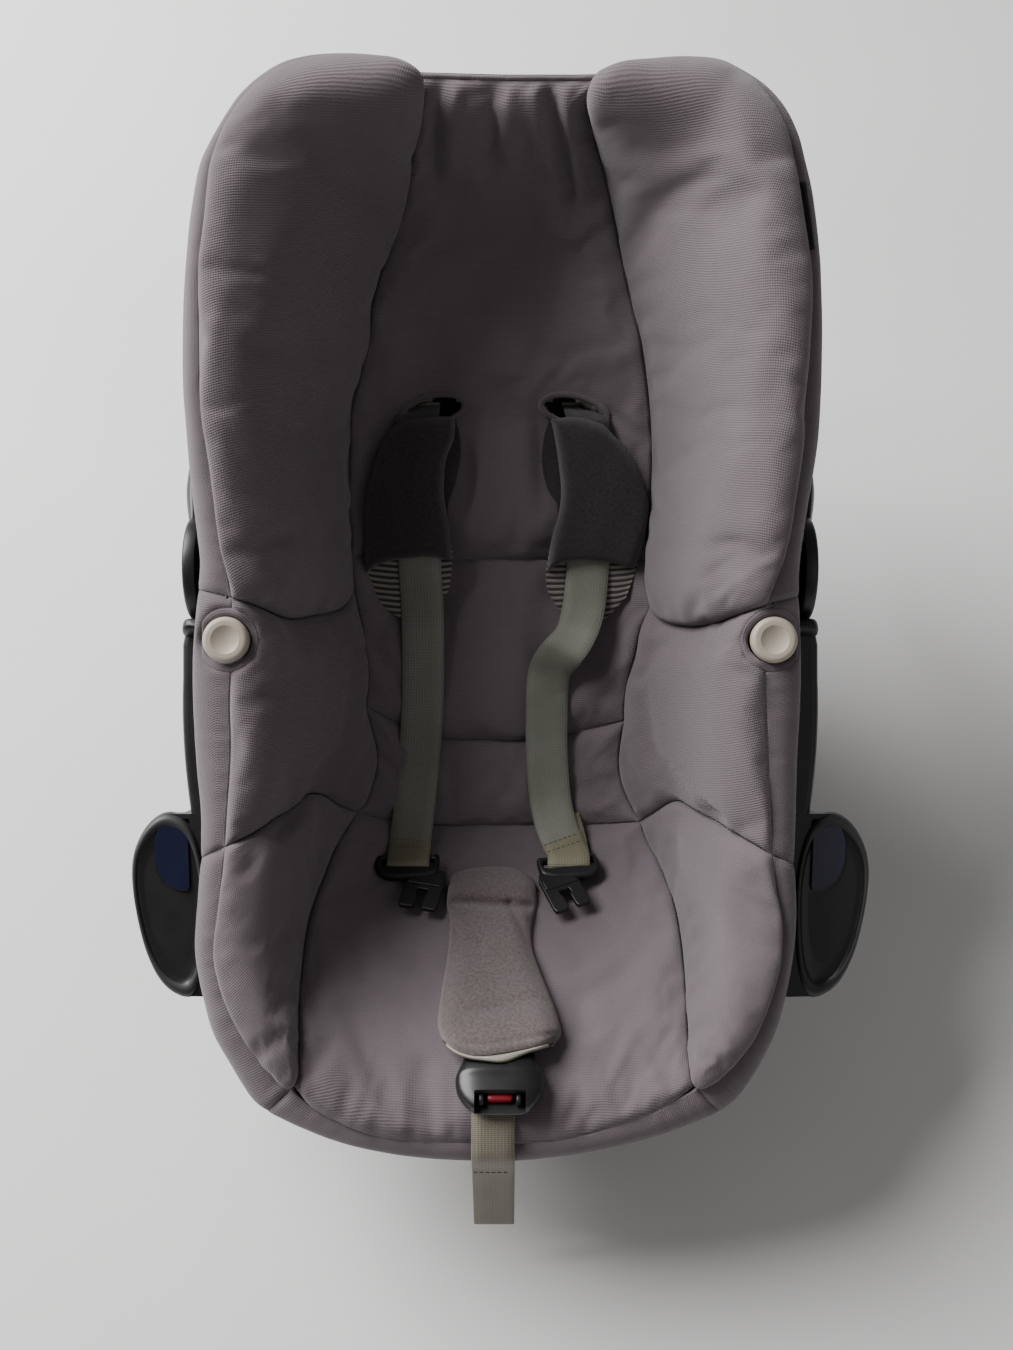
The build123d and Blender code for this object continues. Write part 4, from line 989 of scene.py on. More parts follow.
def slab(name, rings, origin, ax, ay, thick, bevel, mat, seg=3):
    """A flat moulded piece with rounded edges: closed outlines (the first is the outside) in mm on a plane given by two directions in (x, v, w)."""
    cu = bpy.data.curves.new(name, "CURVE")
    cu.dimensions = "2D"
    cu.fill_mode = "BOTH"
    cu.extrude = max(thick / 2 - bevel, 0.01) / 1000
    cu.bevel_depth = bevel / 1000
    cu.bevel_resolution = seg
    cu.offset = -bevel / 1000
    for r in rings:
        sp = cu.splines.new("POLY")
        sp.points.add(len(r) - 1)
        for pt, (x, y) in zip(sp.points, r):
            pt.co = (x / 1000, y / 1000, 0, 1)
        sp.use_cyclic_u = True
    tmp = bpy.data.objects.new(name + "_c", cu)
    scene.collection.objects.link(tmp)
    dg = bpy.context.evaluated_depsgraph_get()
    me = bpy.data.meshes.new_from_object(tmp.evaluated_get(dg))
    bpy.data.objects.remove(tmp)
    co = np.zeros(len(me.vertices) * 3, np.float32)
    me.vertices.foreach_get("co", co)
    co = co.reshape(-1, 3).astype(float) * 1000
    ax, ay = np.asarray(ax, float), np.asarray(ay, float)
    az = np.cross(ax, ay)
    p = np.asarray(origin, float) + co[:, :1] * ax + co[:, 1:2] * ay + co[:, 2:] * az
    me.vertices.foreach_set("co", world(p).astype(np.float32).ravel())
    me.polygons.foreach_set("use_smooth", [True] * len(me.polygons))
    me.update()
    o = bpy.data.objects.new(name, me)
    scene.collection.objects.link(o)
    dress(o, M[mat])
    sharp(o)
    return o


def sharp(o, angle=35):
    """Smooth shading with crisp creases above an angle."""
    me = o.data
    me.polygons.foreach_set("use_smooth", [True] * len(me.polygons))
    me.set_sharp_from_angle(angle=math.radians(angle))


def rounded(pts, r, n=5):
    """Outline with its corners rounded."""
    out = []
    m = len(pts)
    for i in range(m):
        p, a, b = (np.array(pts[k % m], float) for k in (i, i - 1, i + 1))
        rr = r[i] if isinstance(r, (list, tuple)) else r
        da, db = a - p, b - p
        la, lb = np.linalg.norm(da), np.linalg.norm(db)
        rr = min(rr, la * 0.45, lb * 0.45)
        p1, p2 = p + da / la * rr, p + db / lb * rr
        for k in range(n + 1):
            t = k / n
            out.append(tuple((1 - t) ** 2 * p1 + 2 * t * (1 - t) * p + t * t * p2))
    return out


# shoulder straps
S_L = [(-54, 180, -127), (-54, 174, -116), (-54, 166, -104), (-54, 156, -99), (-53.5, 120, -104.6), (-53, 75, -112.5), (-51.5, 40, -119.5), (-52, -10, -131), (-55, -55, -140),
       (-58.5, -90, -140.5), (-60.3, -108, -134.5), (-61, -118, -125.5), (-61, -124, -118.6), (-61, -129, -121.5), (-61, -126.5, -126.3), (-61, -118, -131), (-60.3, -106, -137.8),
       (-59, -96, -142.5)]
S_R = [(55, 180, -127), (55, 174, -116), (56, 166, -104), (56, 156, -99), (57, 120, -104.6), (56.8, 75, -112.5), (55, 50, -115.5), (51.8, 34, -116), (47.5, 24, -115), (41.5, 16, -116.5),
       (36, 9.5, -121.5), (32.2, 2, -127), (30.8, -9, -130.8), (30.6, -27, -134.5), (30.8, -52, -139.5), (33, -82, -141.5), (37, -101, -137.5), (41.5, -112, -131.5), (44.5, -118, -125.5),
       (44.5, -124, -118.6), (44.5, -129, -121.5), (44.5, -126.5, -126.3), (44.5, -118, -131), (42, -106, -137.8), (39, -96, -142.5)]
for side_, pts, roll in (("left", S_L, [(0, 0), (1, 0)]), ("right", S_R, [(0, 0), (0.37, 0), (0.42, 10), (0.47, 24), (0.51, 12), (0.56, -3), (0.62, 0), (1, 0)])):
    o, p, a, b = ribbon("shoulder_strap_%s_web" % side_, pts, 14, 1.8, "web", roll, n=200)
    o.data.materials.append(M["webend"])
    o.data.materials.append(M["knit"])
    # the strap's top end, where it goes into the slot, is dressed in dark knit: partly the pad's loop carried on round
    # it, partly painted shade at the slot
    knit_shade_end = int(np.abs(p[:60, 1] - 148.0).argmin())
    i = int(np.abs(p[:165, 1] + 113.5).argmin())
    for k, f in enumerate(o.data.polygons):
        if k // 14 >= i and k < 14 * 199:
            f.material_index = 1
        elif k // 14 < knit_shade_end:
            f.material_index = 2
    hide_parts("shoulder_strap_" + side_)
    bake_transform(o)
    rows = []
    for k in (i, i + 3):
        rows.append((np.stack([p[k] + a[k] * f * 13 + b[k] * 0.95 for f in (-1, 0, 1)]), b[k]))
    piece(stitches("strap_stitch_" + side_, rows, "thread"), "harness_" + side_, "webbing")

# shoulder pads: an upper flap in dark knit over the strap, a lower flap with striped lining under it
SLOPE = math.atan2(15.0, 85.0)
PAD_N = np.array([0, -math.sin(SLOPE), math.cos(SLOPE)])
PADS = {
    "left": dict(x=-54,
        up=([(401, 419), (428, 415), (456, 414)], [(366, 575), (380, 565), (408, 559), (434, 558), (453, 562)],
            [(401, 419), (384, 438), (369, 480), (364, 518), (363.5, 556), (366, 575)], [(456, 414), (455, 438), (447, 460), (445, 489), (447, 508), (451, 530), (453, 562)]),
        low=([(401, 421), (428, 417), (456, 416)], [(369, 588), (384, 609), (408, 622), (432, 614), (450, 590)],
             [(401, 421), (384, 440), (368, 482), (364, 518), (363.5, 556), (369, 588)], [(456, 416), (461, 436), (462, 456), (456, 485), (449, 507), (452, 532), (453, 562), (450, 590)])),
    "right": dict(x=56,
        up=([(550, 417), (576, 415), (603, 423)], [(546, 573), (558, 565), (577, 561), (607, 563), (635, 570)],
            [(550, 417), (554, 439), (557, 459), (560, 489), (558, 512), (550, 544), (546, 573)], [(603, 423), (623, 445), (637, 467), (648.5, 497), (649, 520), (643, 548), (635, 570)]),
        low=([(548, 419), (576, 417), (603, 425)], [(548, 594), (562, 614), (585, 624), (607, 619), (627, 598)],
             [(548, 419), (542, 440), (540, 465), (546, 489), (556, 508), (550, 542), (545, 574), (548, 594)],
             [(603, 425), (623, 447), (637, 469), (649, 498), (649.5, 521), (643, 549), (635, 576), (627, 598)])),
}


def settle_pad(g, g2, d):
    """The top end of a pad dips into its slot."""
    k = np.clip((g[..., 1] - 148) / 30, 0, 1.2)
    g = g.copy()
    g[..., 2] -= 11 * k * k
    return g


def pad_shape(side_edges, gap, upper):
    def f(g, g2, d, hi_, lo_):
        dl = np.minimum(np.linalg.norm(g - g[:, :1], axis=-1), np.linalg.norm(g - g[:, -1:], axis=-1))
        open_ = gap * np.sqrt(1 - (1 - np.clip(dl / 9, 0, 1)) ** 2)
        wob = 0.35 * np.sin(g[..., 1] / 7.0 + g[..., 0] / 11.0) + 0.25 * np.sin(g[..., 0] / 4.3 - g[..., 1] / 13.0)
        edge = np.clip(d / 4, 0, 1)
        if upper:
            end = np.linalg.norm(g - g[-1:], axis=-1)
            hi_ = hi_ - 0.9 * np.exp(-((end - 7.5) / 1.5) ** 2) * edge
        return (hi_ + open_ + wob * edge, lo_ - open_) if upper else (hi_ - open_, lo_ + open_ + wob * edge)
    return f


for side_, q in PADS.items():
    p0 = np.array([q["x"], 160.0, -97.5])
    spot = lambda px, py, p0=p0: aim(px, py, p0, PAD_N)
    o = cushion("shoulder_pad_%s_top" % side_, *q["up"], spot, PAD_N, 6.6, 0.9, 7.5, ("knit", "stripe"), shape=pad_shape(None, 1.7, True), extra=settle_pad)
    piece(o, "harness_" + side_, "knit", "shoulder_pad_" + side_, pad=0.5)
    o = cushion("shoulder_pad_%s_under" % side_, *q["low"], spot, PAD_N, 0.9, 5.6, 7.5, ("stripe", "knit"), shape=pad_shape(None, 1.7, False), extra=settle_pad)
    low_ = world(aim(np.array([q["x"] * 1.5 + 506.5]), np.array([546.0]), p0, PAD_N))[0] @ AX[1]
    for f in o.data.polygons:
        c = np.mean([o.data.vertices[k].co for k in f.vertices], axis=0)
        if f.material_index == 0 and np.dot(c, AX[1]) > low_:
            f.material_index = 1
    piece(o, "harness_" + side_, "knit", "shoulder_pad_" + side_, pad=0.4)

# the two cover slots: a bound edge, and a dark pocket behind that is painted shade for the shadow inside the slot
for i, ((hx, hy), (ra, rb), turn) in enumerate(SLOTS):
    ang = np.linspace(0, 2 * np.pi, 40, endpoint=False)
    c, s_ = math.cos(math.radians(turn)), math.sin(math.radians(turn))
    ex, ey = (ra + 1.5) * np.cos(ang), (rb + 1.5) * np.sin(ang)
    rim_ = settle(hx + ex * c - ey * s_, hy + ex * s_ + ey * c)
    rim_[:, 2] += 5.6
    cu = bpy.data.curves.new("bind", "CURVE")
    cu.dimensions = "3D"
    sp = cu.splines.new("NURBS")
    sp.points.add(len(rim_) - 1)
    for pt, w_ in zip(sp.points, world(rim_)):
        pt.co = (*w_, 1)
    sp.use_cyclic_u = True
    sp.order_u = 3
    cu.bevel_depth = 0.0022
    cu.bevel_resolution = 3
    tmp = bpy.data.objects.new("bind", cu)
    scene.collection.objects.link(tmp)
    me = bpy.data.meshes.new_from_object(tmp.evaluated_get(bpy.context.evaluated_depsgraph_get()))
    bpy.data.objects.remove(tmp)
    o = bpy.data.objects.new("slot_binding_" + ("left", "right")[i], me)
    scene.collection.objects.link(o)
    me.polygons.foreach_set("use_smooth", [True] * len(me.polygons))
    dress(o, M["cover"])
    piece(o, "root", "cover_fabric")
    rows = []
    for k, deep in ((1.0, 3.5), (0.97, -3), (0.9, -9), (0.6, -12), (0.2, -12.5)):
        r_ = settle(hx + (ex * c - ey * s_) * k, hy + (ex * s_ + ey * c) * k)
        r_[:, 2] += deep
        rows.append(r_)
    g = np.stack(rows, 0)
    faces = grid_faces(5, 40, wrap=True) + [tuple(160 + k for k in range(40))]
    o = new_object("slot_shade_pocket_" + ("left", "right")[i], world(g.reshape(-1, 3)), faces, (lengths(g) / 1000).reshape(-1, 2))
    m = o.modifiers.new("thick", "SOLIDIFY")
    m.thickness = 0.0008
    # black colour of the pocket: painted shade deep inside the slot
    dress(o, M["rubber"])
    piece(o, "root", "cover_fabric")
    t0, t1, wide = ((188, 292, 0.20), (262, 352, 0.44))[i]
    th = np.radians(np.linspace(t0, t1, 30))
    fat = np.sin(np.linspace(0.12, math.pi - 0.12, 30)) * wide
    rows = []
    for f, deep in ((0.0, 4.6), (0.35, 4.2), (0.7, 2.6), (1.0, 0.2)):
        k = 0.99 - fat * f
        ex2, ey2 = (ra + 1.5) * np.cos(th) * k, (rb + 1.5) * np.sin(th) * k
        r_ = settle(hx + ex2 * c - ey2 * s_, hy + ex2 * s_ + ey2 * c)
        r_[:, 2] += deep
        rows.append(r_)
    g = np.stack(rows, 0)
    o = new_object("slot_lining_" + ("left", "right")[i], world(g.reshape(-1, 3)), grid_faces(4, 30), (lengths(g) / 1000).reshape(-1, 2))
    m = o.modifiers.new("thick", "SOLIDIFY")
    m.thickness, m.offset = 0.0009, 0.0
    dress(o, M["satin"])
    piece(o, "root", "cover_fabric")

# tongues: a bridge for the strap and a two-pronged fork
T_DIR = np.array([0, -0.66, 0.75]) / math.hypot(0.66, 0.75)
T_NRM = np.cross(np.array([1.0, 0, 0]), T_DIR)
for side_, ex, l, turn, tip in (("left", -61.0, 14.0, 1.0, 12.0), ("right", 44.5, -10.5, -8.0, -22.0)):
    def axes(deg):
        th = math.radians(deg)
        return (np.array([1.0, 0, 0]) * math.cos(th) + T_DIR * math.sin(th), T_DIR * math.cos(th) - np.array([1.0, 0, 0]) * math.sin(th))
    ax, ay = axes(turn)
    o0 = np.array([ex, -125.0, -122.4])
    near = 1.0 if side_ == "left" else -1.0
    bridge = [(-21.5, -5.5), (-17, -6.4), (0, -5.6), (15, -6.6), (19, -8.6 if near > 0 else -7.0), (20.6, -6 if near > 0 else -5.2), (20.4, 1), (19.5, 8), (12, 11.5), (0, 12.6), (-9, 13), (-15.5, 12), (-20, 8.4), (-22.4, 2)]
    if near < 0:
        bridge[0], bridge[1], bridge[-1] = (-19.6, -2.8), (-16.4, -5.4), (-20.6, 2)
    bridge = rounded([(x_ * near, y_) for x_, y_ in (bridge if near > 0 else bridge[::-1])], 3)
    eye = rounded([(-16.5, -3.2), (16.5, -3.2), (16.5, 2.6), (-16.5, 2.6)], 2)
    a_ = slab("tongue_%s_bridge" % side_, [bridge, eye[::-1]], o0, ax, ay, 6.4, 2.3, "black", 4)
    bx, by = axes(tip)
    root = o0 + ax * l + ay * 5.0
    fork = rounded([(-10.5, -1), (10.5, -1), (12.6, 4), (12.8, 29), (11.8, 32), (3.6, 32), (2.5, 30), (2.3, 21.5), (3.4, 20.5), (3.4, 16.5), (-3.4, 16.5), (-3.4, 20.5), (-2.3, 21.5),
                    (-2.5, 30), (-3.6, 32), (-11.8, 32), (-12.8, 29), (-12.6, 4)], 1.0, 4)
    b_ = slab("tongue_%s_fork" % side_, [fork], root + np.cross(bx, by) * 0.4, bx, by, 3.4, 0.9, "black", 3)
    rib_ = rounded([(-9.5, 1.5), (9.5, 1.5), (11.4, 6), (11.4, 13.5), (-11.4, 13.5), (-11.4, 6)], 1.3)
    c_ = slab("tongue_%s_step" % side_, [rib_], root + np.cross(bx, by) * 0.4, bx, by, 5.4, 1.0, "black", 3)
    for o in (a_, b_, c_):
        piece(o, "tongue_" + side_, "hard_black", "tongue_" + side_)

# crotch pad, its lining, the buckle and the crotch strap
CU = np.array([0, -0.636, 0.7717])
CN = np.array([0, 0.7717, 0.636])
CP = np.array([0, -129.5, -131.0])
crotch_spot = lambda px, py: aim(px, py, CP, CN)


def sleeve(name, top, bottom, left, right, mats, step=2.0):
    """The crotch pad: a stuffed sleeve, closed at the top and sides and open at its lower end, with a pale lining."""
    ns, nt = 46, 84
    g2 = coons(through(top, ns), through(bottom, ns), through(left, nt), through(right, nt))
    g = crotch_spot(g2[..., 0], g2[..., 1])
    d, _ = far(g, np.vstack([g[0], g[:, 0], g[:, -1]]))
    x, y = g2[..., 0], g2[..., 1]
    prof = np.sqrt(1 - (1 - np.clip(d / 13.0, 0, 1)) ** 2)
    down = np.clip((y - 930) / 110.0, 0, 1)
    high, low = 8.5 + 5.8 * down * down * (3 - 2 * down), 5.5 + 4.5 * down * down * (3 - 2 * down)
    fold = -4.2 * np.exp(-((y - 905 - 0.06 * (x - 490)) / 4.5) ** 2) + 1.6 * np.exp(-((y - 888) / 10.0) ** 2)
    for line, wide, deep in (([(510, 905), (520, 926), (531, 948)], 4.0, -2.4), ([(448, 925), (462, 940), (480, 946)], 5.0, -1.3),
                             ([(446, 1000), (470, 1012), (500, 1008)], 7.0, -1.0), ([(556, 1010), (536, 1000), (516, 1004)], 7.0, -1.0)):
        dd, _ = far(g2, through(line, 30))
        fold += deep * np.exp(-(dd / wide) ** 2)
    fold += 0.5 * np.sin(y / 17.0 + x / 23.0) + 0.3 * np.sin(x / 9.0 - y / 31.0)
    end = np.linalg.norm(g - g[-1:], axis=-1)
    lip = -1.6 * (1 - np.clip(end / 6.0, 0, 1)) ** 2 - 0.8 * np.exp(-((end - 8.0) / 1.6) ** 2)
    hi_ = high * prof + (fold + lip) * np.clip(d / 5, 0, 1)
    lo_ = low * prof
    a, b = g + CN * hi_[..., None] + CU * (0.7 * hi_)[..., None], g - CN * lo_[..., None]
    keep_ = np.zeros((nt, ns), bool)
    keep_[1:, 1:-1] = True
    ia = np.arange(ns * nt).reshape(nt, ns)
    ib = ia.copy()
    ib[keep_] = ns * nt + np.arange(keep_.sum())
    verts = np.vstack([a.reshape(-1, 3), b[keep_]])
    uv = lengths(g) / 1000.0
    uvs = np.vstack([uv.reshape(-1, 2), uv[keep_]])
    f = []
    for i in range(nt - 1):
        for j in range(ns - 1):
            f.append((ia[i, j], ia[i, j + 1], ia[i + 1, j + 1], ia[i + 1, j]))
            f.append((ib[i, j], ib[i + 1, j], ib[i + 1, j + 1], ib[i, j + 1]))
    v0 = world(verts)
    q = f[len(f) // 4 * 2]
    if np.dot(np.cross(v0[q[1]] - v0[q[0]], v0[q[2]] - v0[q[1]]), CN @ AX) < 0:
        f = [k[::-1] for k in f]
    o = new_object(name, v0, [tuple(int(i) for i in k) for k in f], uvs)
    dress(o, *[M[m] for m in mats])
    m = o.modifiers.new("smooth", "SUBSURF")
    m.levels = m.render_levels = 1
    m.boundary_smooth = "PRESERVE_CORNERS"
    m = o.modifiers.new("thick", "SOLIDIFY")
    m.thickness, m.offset, m.use_rim = 0.0026, -1.0, True
    m.material_offset = m.material_offset_rim = 1
    e = a[-1, 3:-3]
    full = (0.5 + 1.3 * np.exp(-((g2[-1, 3:-3, 0] - 505.0) / 17.0) ** 2))[:, None] * np.sin(np.linspace(0.25, math.pi - 0.25, len(e)))[:, None] ** 0.5
    band = np.stack([e - CN * 0.9, e + CU * 1.0 * full - CN * 0.3, e + CU * 2.2 * full - CN * 0.7, e + CU * 2.6 * full - CN * 2.0], 0)
    lining = new_object(name + "_lining", world(band.reshape(-1, 3)), grid_faces(4, len(e)), (lengths(band) / 1000).reshape(-1, 2))
    t = lining.modifiers.new("thick", "SOLIDIFY")
    t.thickness, t.offset = 0.0008, 0.0
    dress(lining, M["satin"])
    piece(lining, "crotch", "crotch_knit")
    return o


o = sleeve("crotch_pad_knit", [(447, 886), (456, 872), (486, 866), (511, 867), (528, 874), (537, 886)], [(441, 1038), (458, 1051), (481, 1056), (517, 1051), (556, 1042)],
           [(447, 886), (446, 904), (450, 924), (447, 957), (441, 991), (437, 1022), (441, 1038)],
           [(537, 886), (537, 905), (532, 926), (533, 949), (542, 974), (556, 1008), (562, 1032), (556, 1042)], ("crotch", "satin"))
piece(o, "crotch", "crotch_knit", "crotch_pad", pad=0.6)
o, p, a, b = ribbon("crotch_strap_web", [CP + CU * 2, CP + CU * 40, CP + CU * 80, CP + CU * 134], 14, 1.8, "web", n=40)
piece(o, "crotch", "webbing", "crotch_strap")


def lofted(name, rows, origin, along_, across, out, mat, n=44, power=3.2, cap=True):
    """A rounded body through (s, half width, up, down) rows."""
    ang = np.linspace(0, 2 * np.pi, n, endpoint=False)
    c, s_ = np.cos(ang), np.sin(ang)
    cx_, cy_ = np.sign(c) * np.abs(c) ** (2 / power), np.sign(s_) * np.abs(s_) ** (2 / power)
    g = np.stack([origin + along_ * s + across * (hw * cx_)[:, None] + out * (np.where(cy_ > 0, up, dn) * cy_)[:, None] for s, hw, up, dn in rows], 0)
    nr = len(rows)
    faces = grid_faces(nr, n, wrap=True)
    faces += [tuple(range(n))[::-1], tuple((nr - 1) * n + k for k in range(n))]
    v0 = world(g.reshape(-1, 3))
    o = new_object(name, v0, faces, (lengths(g) / 1000).reshape(-1, 2))
    outward(o)
    dress(o, M[mat])
    return o


def outward(o):
    import bmesh
    bm = bmesh.new()
    bm.from_mesh(o.data)
    bmesh.ops.recalc_face_normals(bm, faces=bm.faces)
    bm.to_mesh(o.data)
    bm.free()
    o.data.update()


def carve(o, cutter):
    """Cuts one mesh out of another and keeps the result."""
    m = o.modifiers.new("cut", "BOOLEAN")
    m.operation = "DIFFERENCE"
    m.solver = "EXACT"
    m.object = cutter
    me = bpy.data.meshes.new_from_object(o.evaluated_get(bpy.context.evaluated_depsgraph_get()))
    o.modifiers.clear()
    old = o.data
    o.data = me
    bpy.data.meshes.remove(old)
    bpy.data.objects.remove(cutter)
    sharp(o, 40)
    return o


def block(name, origin, ax, ay, az, x0, x1, y0, y1, z0, z1):
    pts = [np.asarray(origin) + np.asarray(ax) * x + np.asarray(ay) * y + np.asarray(az) * z for x in (x0, x1) for y in (y0, y1) for z in (z0, z1)]
    f = [(0, 1, 3, 2), (4, 6, 7, 5), (0, 4, 5, 1), (2, 3, 7, 6), (0, 2, 6, 4), (1, 5, 7, 3)]
    o = new_object(name, world(np.array(pts)), f, smooth=False)
    outward(o)
    return o


XD = np.array([1.0, 0, 0])
B_ROWS = [(119, 13, 3, 3), (120.5, 15.5, 5, 5), (125, 17.3, 6.6, 6.6), (135, 18.2, 7.6, 7.6), (146, 19.6, 8.6, 8.6), (152, 21.8, 9.4, 8.9), (158, 24, 10.2, 9), (161, 25, 10.5, 9),
          (163, 25.5, 10.3, 9), (164.2, 25.7, 9.6, 8.9), (168, 25.4, 8.7, 8.6), (172, 24.3, 7.8, 8.0), (176, 22.2, 6.9, 7.1), (179.5, 19.4, 6.1, 6.2), (181.8, 16.9, 5.4, 5.4), (182.6, 15.6, 5.0, 5.0)]
buckle = lofted("buckle_body", B_ROWS, CP, CU, XD, CN, "gloss")
carve(buckle, block("cut_a", CP, XD, CU, CN, -14.6, 14.6, 150, 192, -3.3, 3.3))
carve(buckle, block("cut_c", CP, XD, CU, CN, -14.6, 14.6, 174, 192, -3.3, 16))
carve(buckle, lofted("cut_b", [(-44, 13.5, 9.6, 9.6), (-1.1, 13.5, 9.6, 9.6)], CP + CU * 152, CN, XD, CU, "gloss", power=8))
carve(buckle, block("cut_d", CP, XD, CU, CN, -4.8, 4.8, 143.2, 152.8, -3, 4.4))
piece(buckle, "crotch", "hard_black", "buckle_back", "buckle_front")
o = lofted("buckle_latch_red", [(162.6, 6, 2.0, 2.0), (163.2, 7.2, 2.4, 2.4), (174.6, 7.4, 2.4, 2.4), (176, 6.8, 1.9, 1.9), (176.5, 6.0, 1.4, 1.4)], CP - CN * 0.8, CU, XD, CN, "red", power=4)
piece(o, "crotch", "red")
for i, x0 in enumerate((-12.4, 9.0)):
    o = lofted("buckle_guide_%d" % i, [(162.6, 1.4, 2.9, 2.9), (176, 1.6, 2.9, 2.9), (179, 1.4, 2.2, 2.2)], CP + XD * (x0 + 1.7), CU, XD, CN, "black", n=24, power=4)
    piece(o, "crotch", "hard_black")

# pull strap over the foot end
o, p, a, b = ribbon("pull_strap_web", [(-4, -244.5, -15), (-4, -247.5, -8), (-4, -251, -1.5), (-4, -258, 0.6), (-4, -268, 0.9), (-4, -275.5, -0.6), (-4, -280.5, -5.5), (-4, -286, -13),
                                       (-4, -296, -25), (-4, -316, -45), (-4, -338.5, -65.5)], 12.5, 2.2, "pull", n=110)
piece(o, "root", "webbing", "pull_strap")
i = np.abs(p[:, 1] + 289).argmin()
rows = [(np.stack([p[k] + a[k] * f * 11.6 + b[k] * 1.2 for f in (-1, 0, 1)]), b[k]) for k in (i, i + 1)]
piece(stitches("pull_strap_stitch", rows[:1], "thread"), "root", "webbing")

# plain side tag, folded into the rim seam
tag = settle(np.array([796.0, 800.5, 805.0]), np.array([184.0, 218.0, 252.0]))
tag_pts = [np.array([p_[0] + 1.0, p_[1], RIM(p_[1]) + 1.4]) for p_ in tag]
o, p, a, b = ribbon("side_tag", tag_pts, 4.4, 1.1, "tag", n=30, edge=0.35, roll=[(0, 24), (1, 24)])
piece(o, "root", "cover_fabric")

# belt hooks: a rounded grey rim round a glossy dish, with the blue belt guide let into it
LEAF = [(199, -83), (208, -87), (215.5, -97), (219.7, -110), (219.5, -130), (215, -154), (209, -172), (200.5, -185.5), (190, -192)]
INNER = [(183, -190), (178, -176), (176, -150), (177, -120), (182, -98), (189, -87)]
loop_ = through(LEAF + INNER, 110, closed=True)
mid_ = np.array([199.0, -134.0])
RINGS = [(0.97, -47.5, 0), (1.0, -47, 0), (1.014, -44.5, 0), (1.018, -41.5, 0), (1.010, -38.6, 0), (0.99, -36.2, 0), (0.96, -34.8, 0), (0.925, -34.3, 0), (0.89, -34.6, 0), (0.865, -35.5, 0),
         (0.845, -36.2, 1), (0.80, -36.7, 1), (0.65, -37.0, 1), (0.4, -37.2, 1), (0.12, -37.25, 1)]
for side_, sg in (("left", -1.0), ("right", 1.0)):
    rows = []
    for k, w_, _ in RINGS:
        q2 = mid_ + (loop_ - mid_) * k
        rows.append(np.stack([sg * q2[:, 0], q2[:, 1], np.full(len(q2), w_)], -1))
    g = np.stack(rows, 0)
    nr, nl = g.shape[:2]
    faces = grid_faces(nr, nl, wrap=True) + [tuple((nr - 1) * nl + k for k in range(nl)), tuple(range(nl))[::-1]]
    o = new_object("belt_hook_%s_rim" % side_, world(g.reshape(-1, 3)), faces, (lengths(g) / 1000).reshape(-1, 2))
    outward(o)
    dress(o, M["grey"], M["gloss"])
    for k, f in enumerate(o.data.polygons):
        f.material_index = RINGS[min(k // nl + 1, nr - 1)][2] if k < (nr - 1) * nl else (1 if k == (nr - 1) * nl else 0)
    piece(o, "root", "hard_black")
    guide = rounded([(203, -88), (206.5, -98), (206, -112), (201.5, -123), (193, -128.5), (185, -129), (186.5, -92)], 4, 6)
    pts = [(sg * x_, v_) for x_, v_ in guide]
    o = slab("hook_insert_%s_guide" % side_, [pts if sg > 0 else pts[::-1]], (0, 0, -36.3), (1, 0, 0), (0, 1, 0), 2.2, 0.8, "blue", 4)
    piece(o, "root", "blue", "hook_insert_" + side_)


# carrying handle: a flat-oval bow with lens-shaped hubs and a ribbed soft grip, in mm of the shared frame
PY, PZ = 7.65, 259.43


def bow(name, path, sizes, side, mat, n=36, power=2.7):
    """An oval bar along (x, y) points at the pivot's height; sizes are (thickness, height) pairs."""
    p = np.array(path, float)
    t = np.gradient(p, axis=0)
    t /= np.linalg.norm(t, axis=1, keepdims=True)
    nx = np.stack([t[:, 1], -t[:, 0]], 1)
    ang = np.linspace(0, 2 * np.pi, n, endpoint=False)
    c, s_ = np.cos(ang), np.sin(ang)
    cx_, cy_ = np.sign(c) * np.abs(c) ** (2 / power), np.sign(s_) * np.abs(s_) ** (2 / power)
    g = np.zeros((len(p), n, 3))
    for i in range(len(p)):
        th, he = sizes[i]
        g[i, :, 0] = side * (p[i, 0] + nx[i, 0] * cx_ * th / 2)
        g[i, :, 1] = p[i, 1] + nx[i, 1] * cx_ * th / 2
        g[i, :, 2] = PZ + cy_ * he / 2
    faces = grid_faces(len(p), n, wrap=True) + [tuple(range(n))[::-1], tuple((len(p) - 1) * n + k for k in range(n))]
    o = new_object(name, g.reshape(-1, 3) / 1000, faces, (lengths(g) / 1000).reshape(-1, 2))
    outward(o)
    dress(o, M[mat])
    return o


def turned(name, profile, side, mat, n=72, cy=PY, cz=PZ):
    """A turned body about the handle's axle: (radius, x) points."""
    ang = np.linspace(0, 2 * np.pi, n, endpoint=False)
    g = np.stack([np.stack([np.full(n, side * x), cy + r * np.cos(ang), cz + r * np.sin(ang)], -1) for r, x in profile], 0)
    nr = len(profile)
    faces = grid_faces(nr, n, wrap=True) + [tuple(range(n))[::-1], tuple((nr - 1) * n + k for k in range(n))]
    o = new_object(name, g.reshape(-1, 3) / 1000, faces, (lengths(g) / 1000).reshape(-1, 2))
    outward(o)
    dress(o, M[mat])
    sharp(o, 38)
    return o


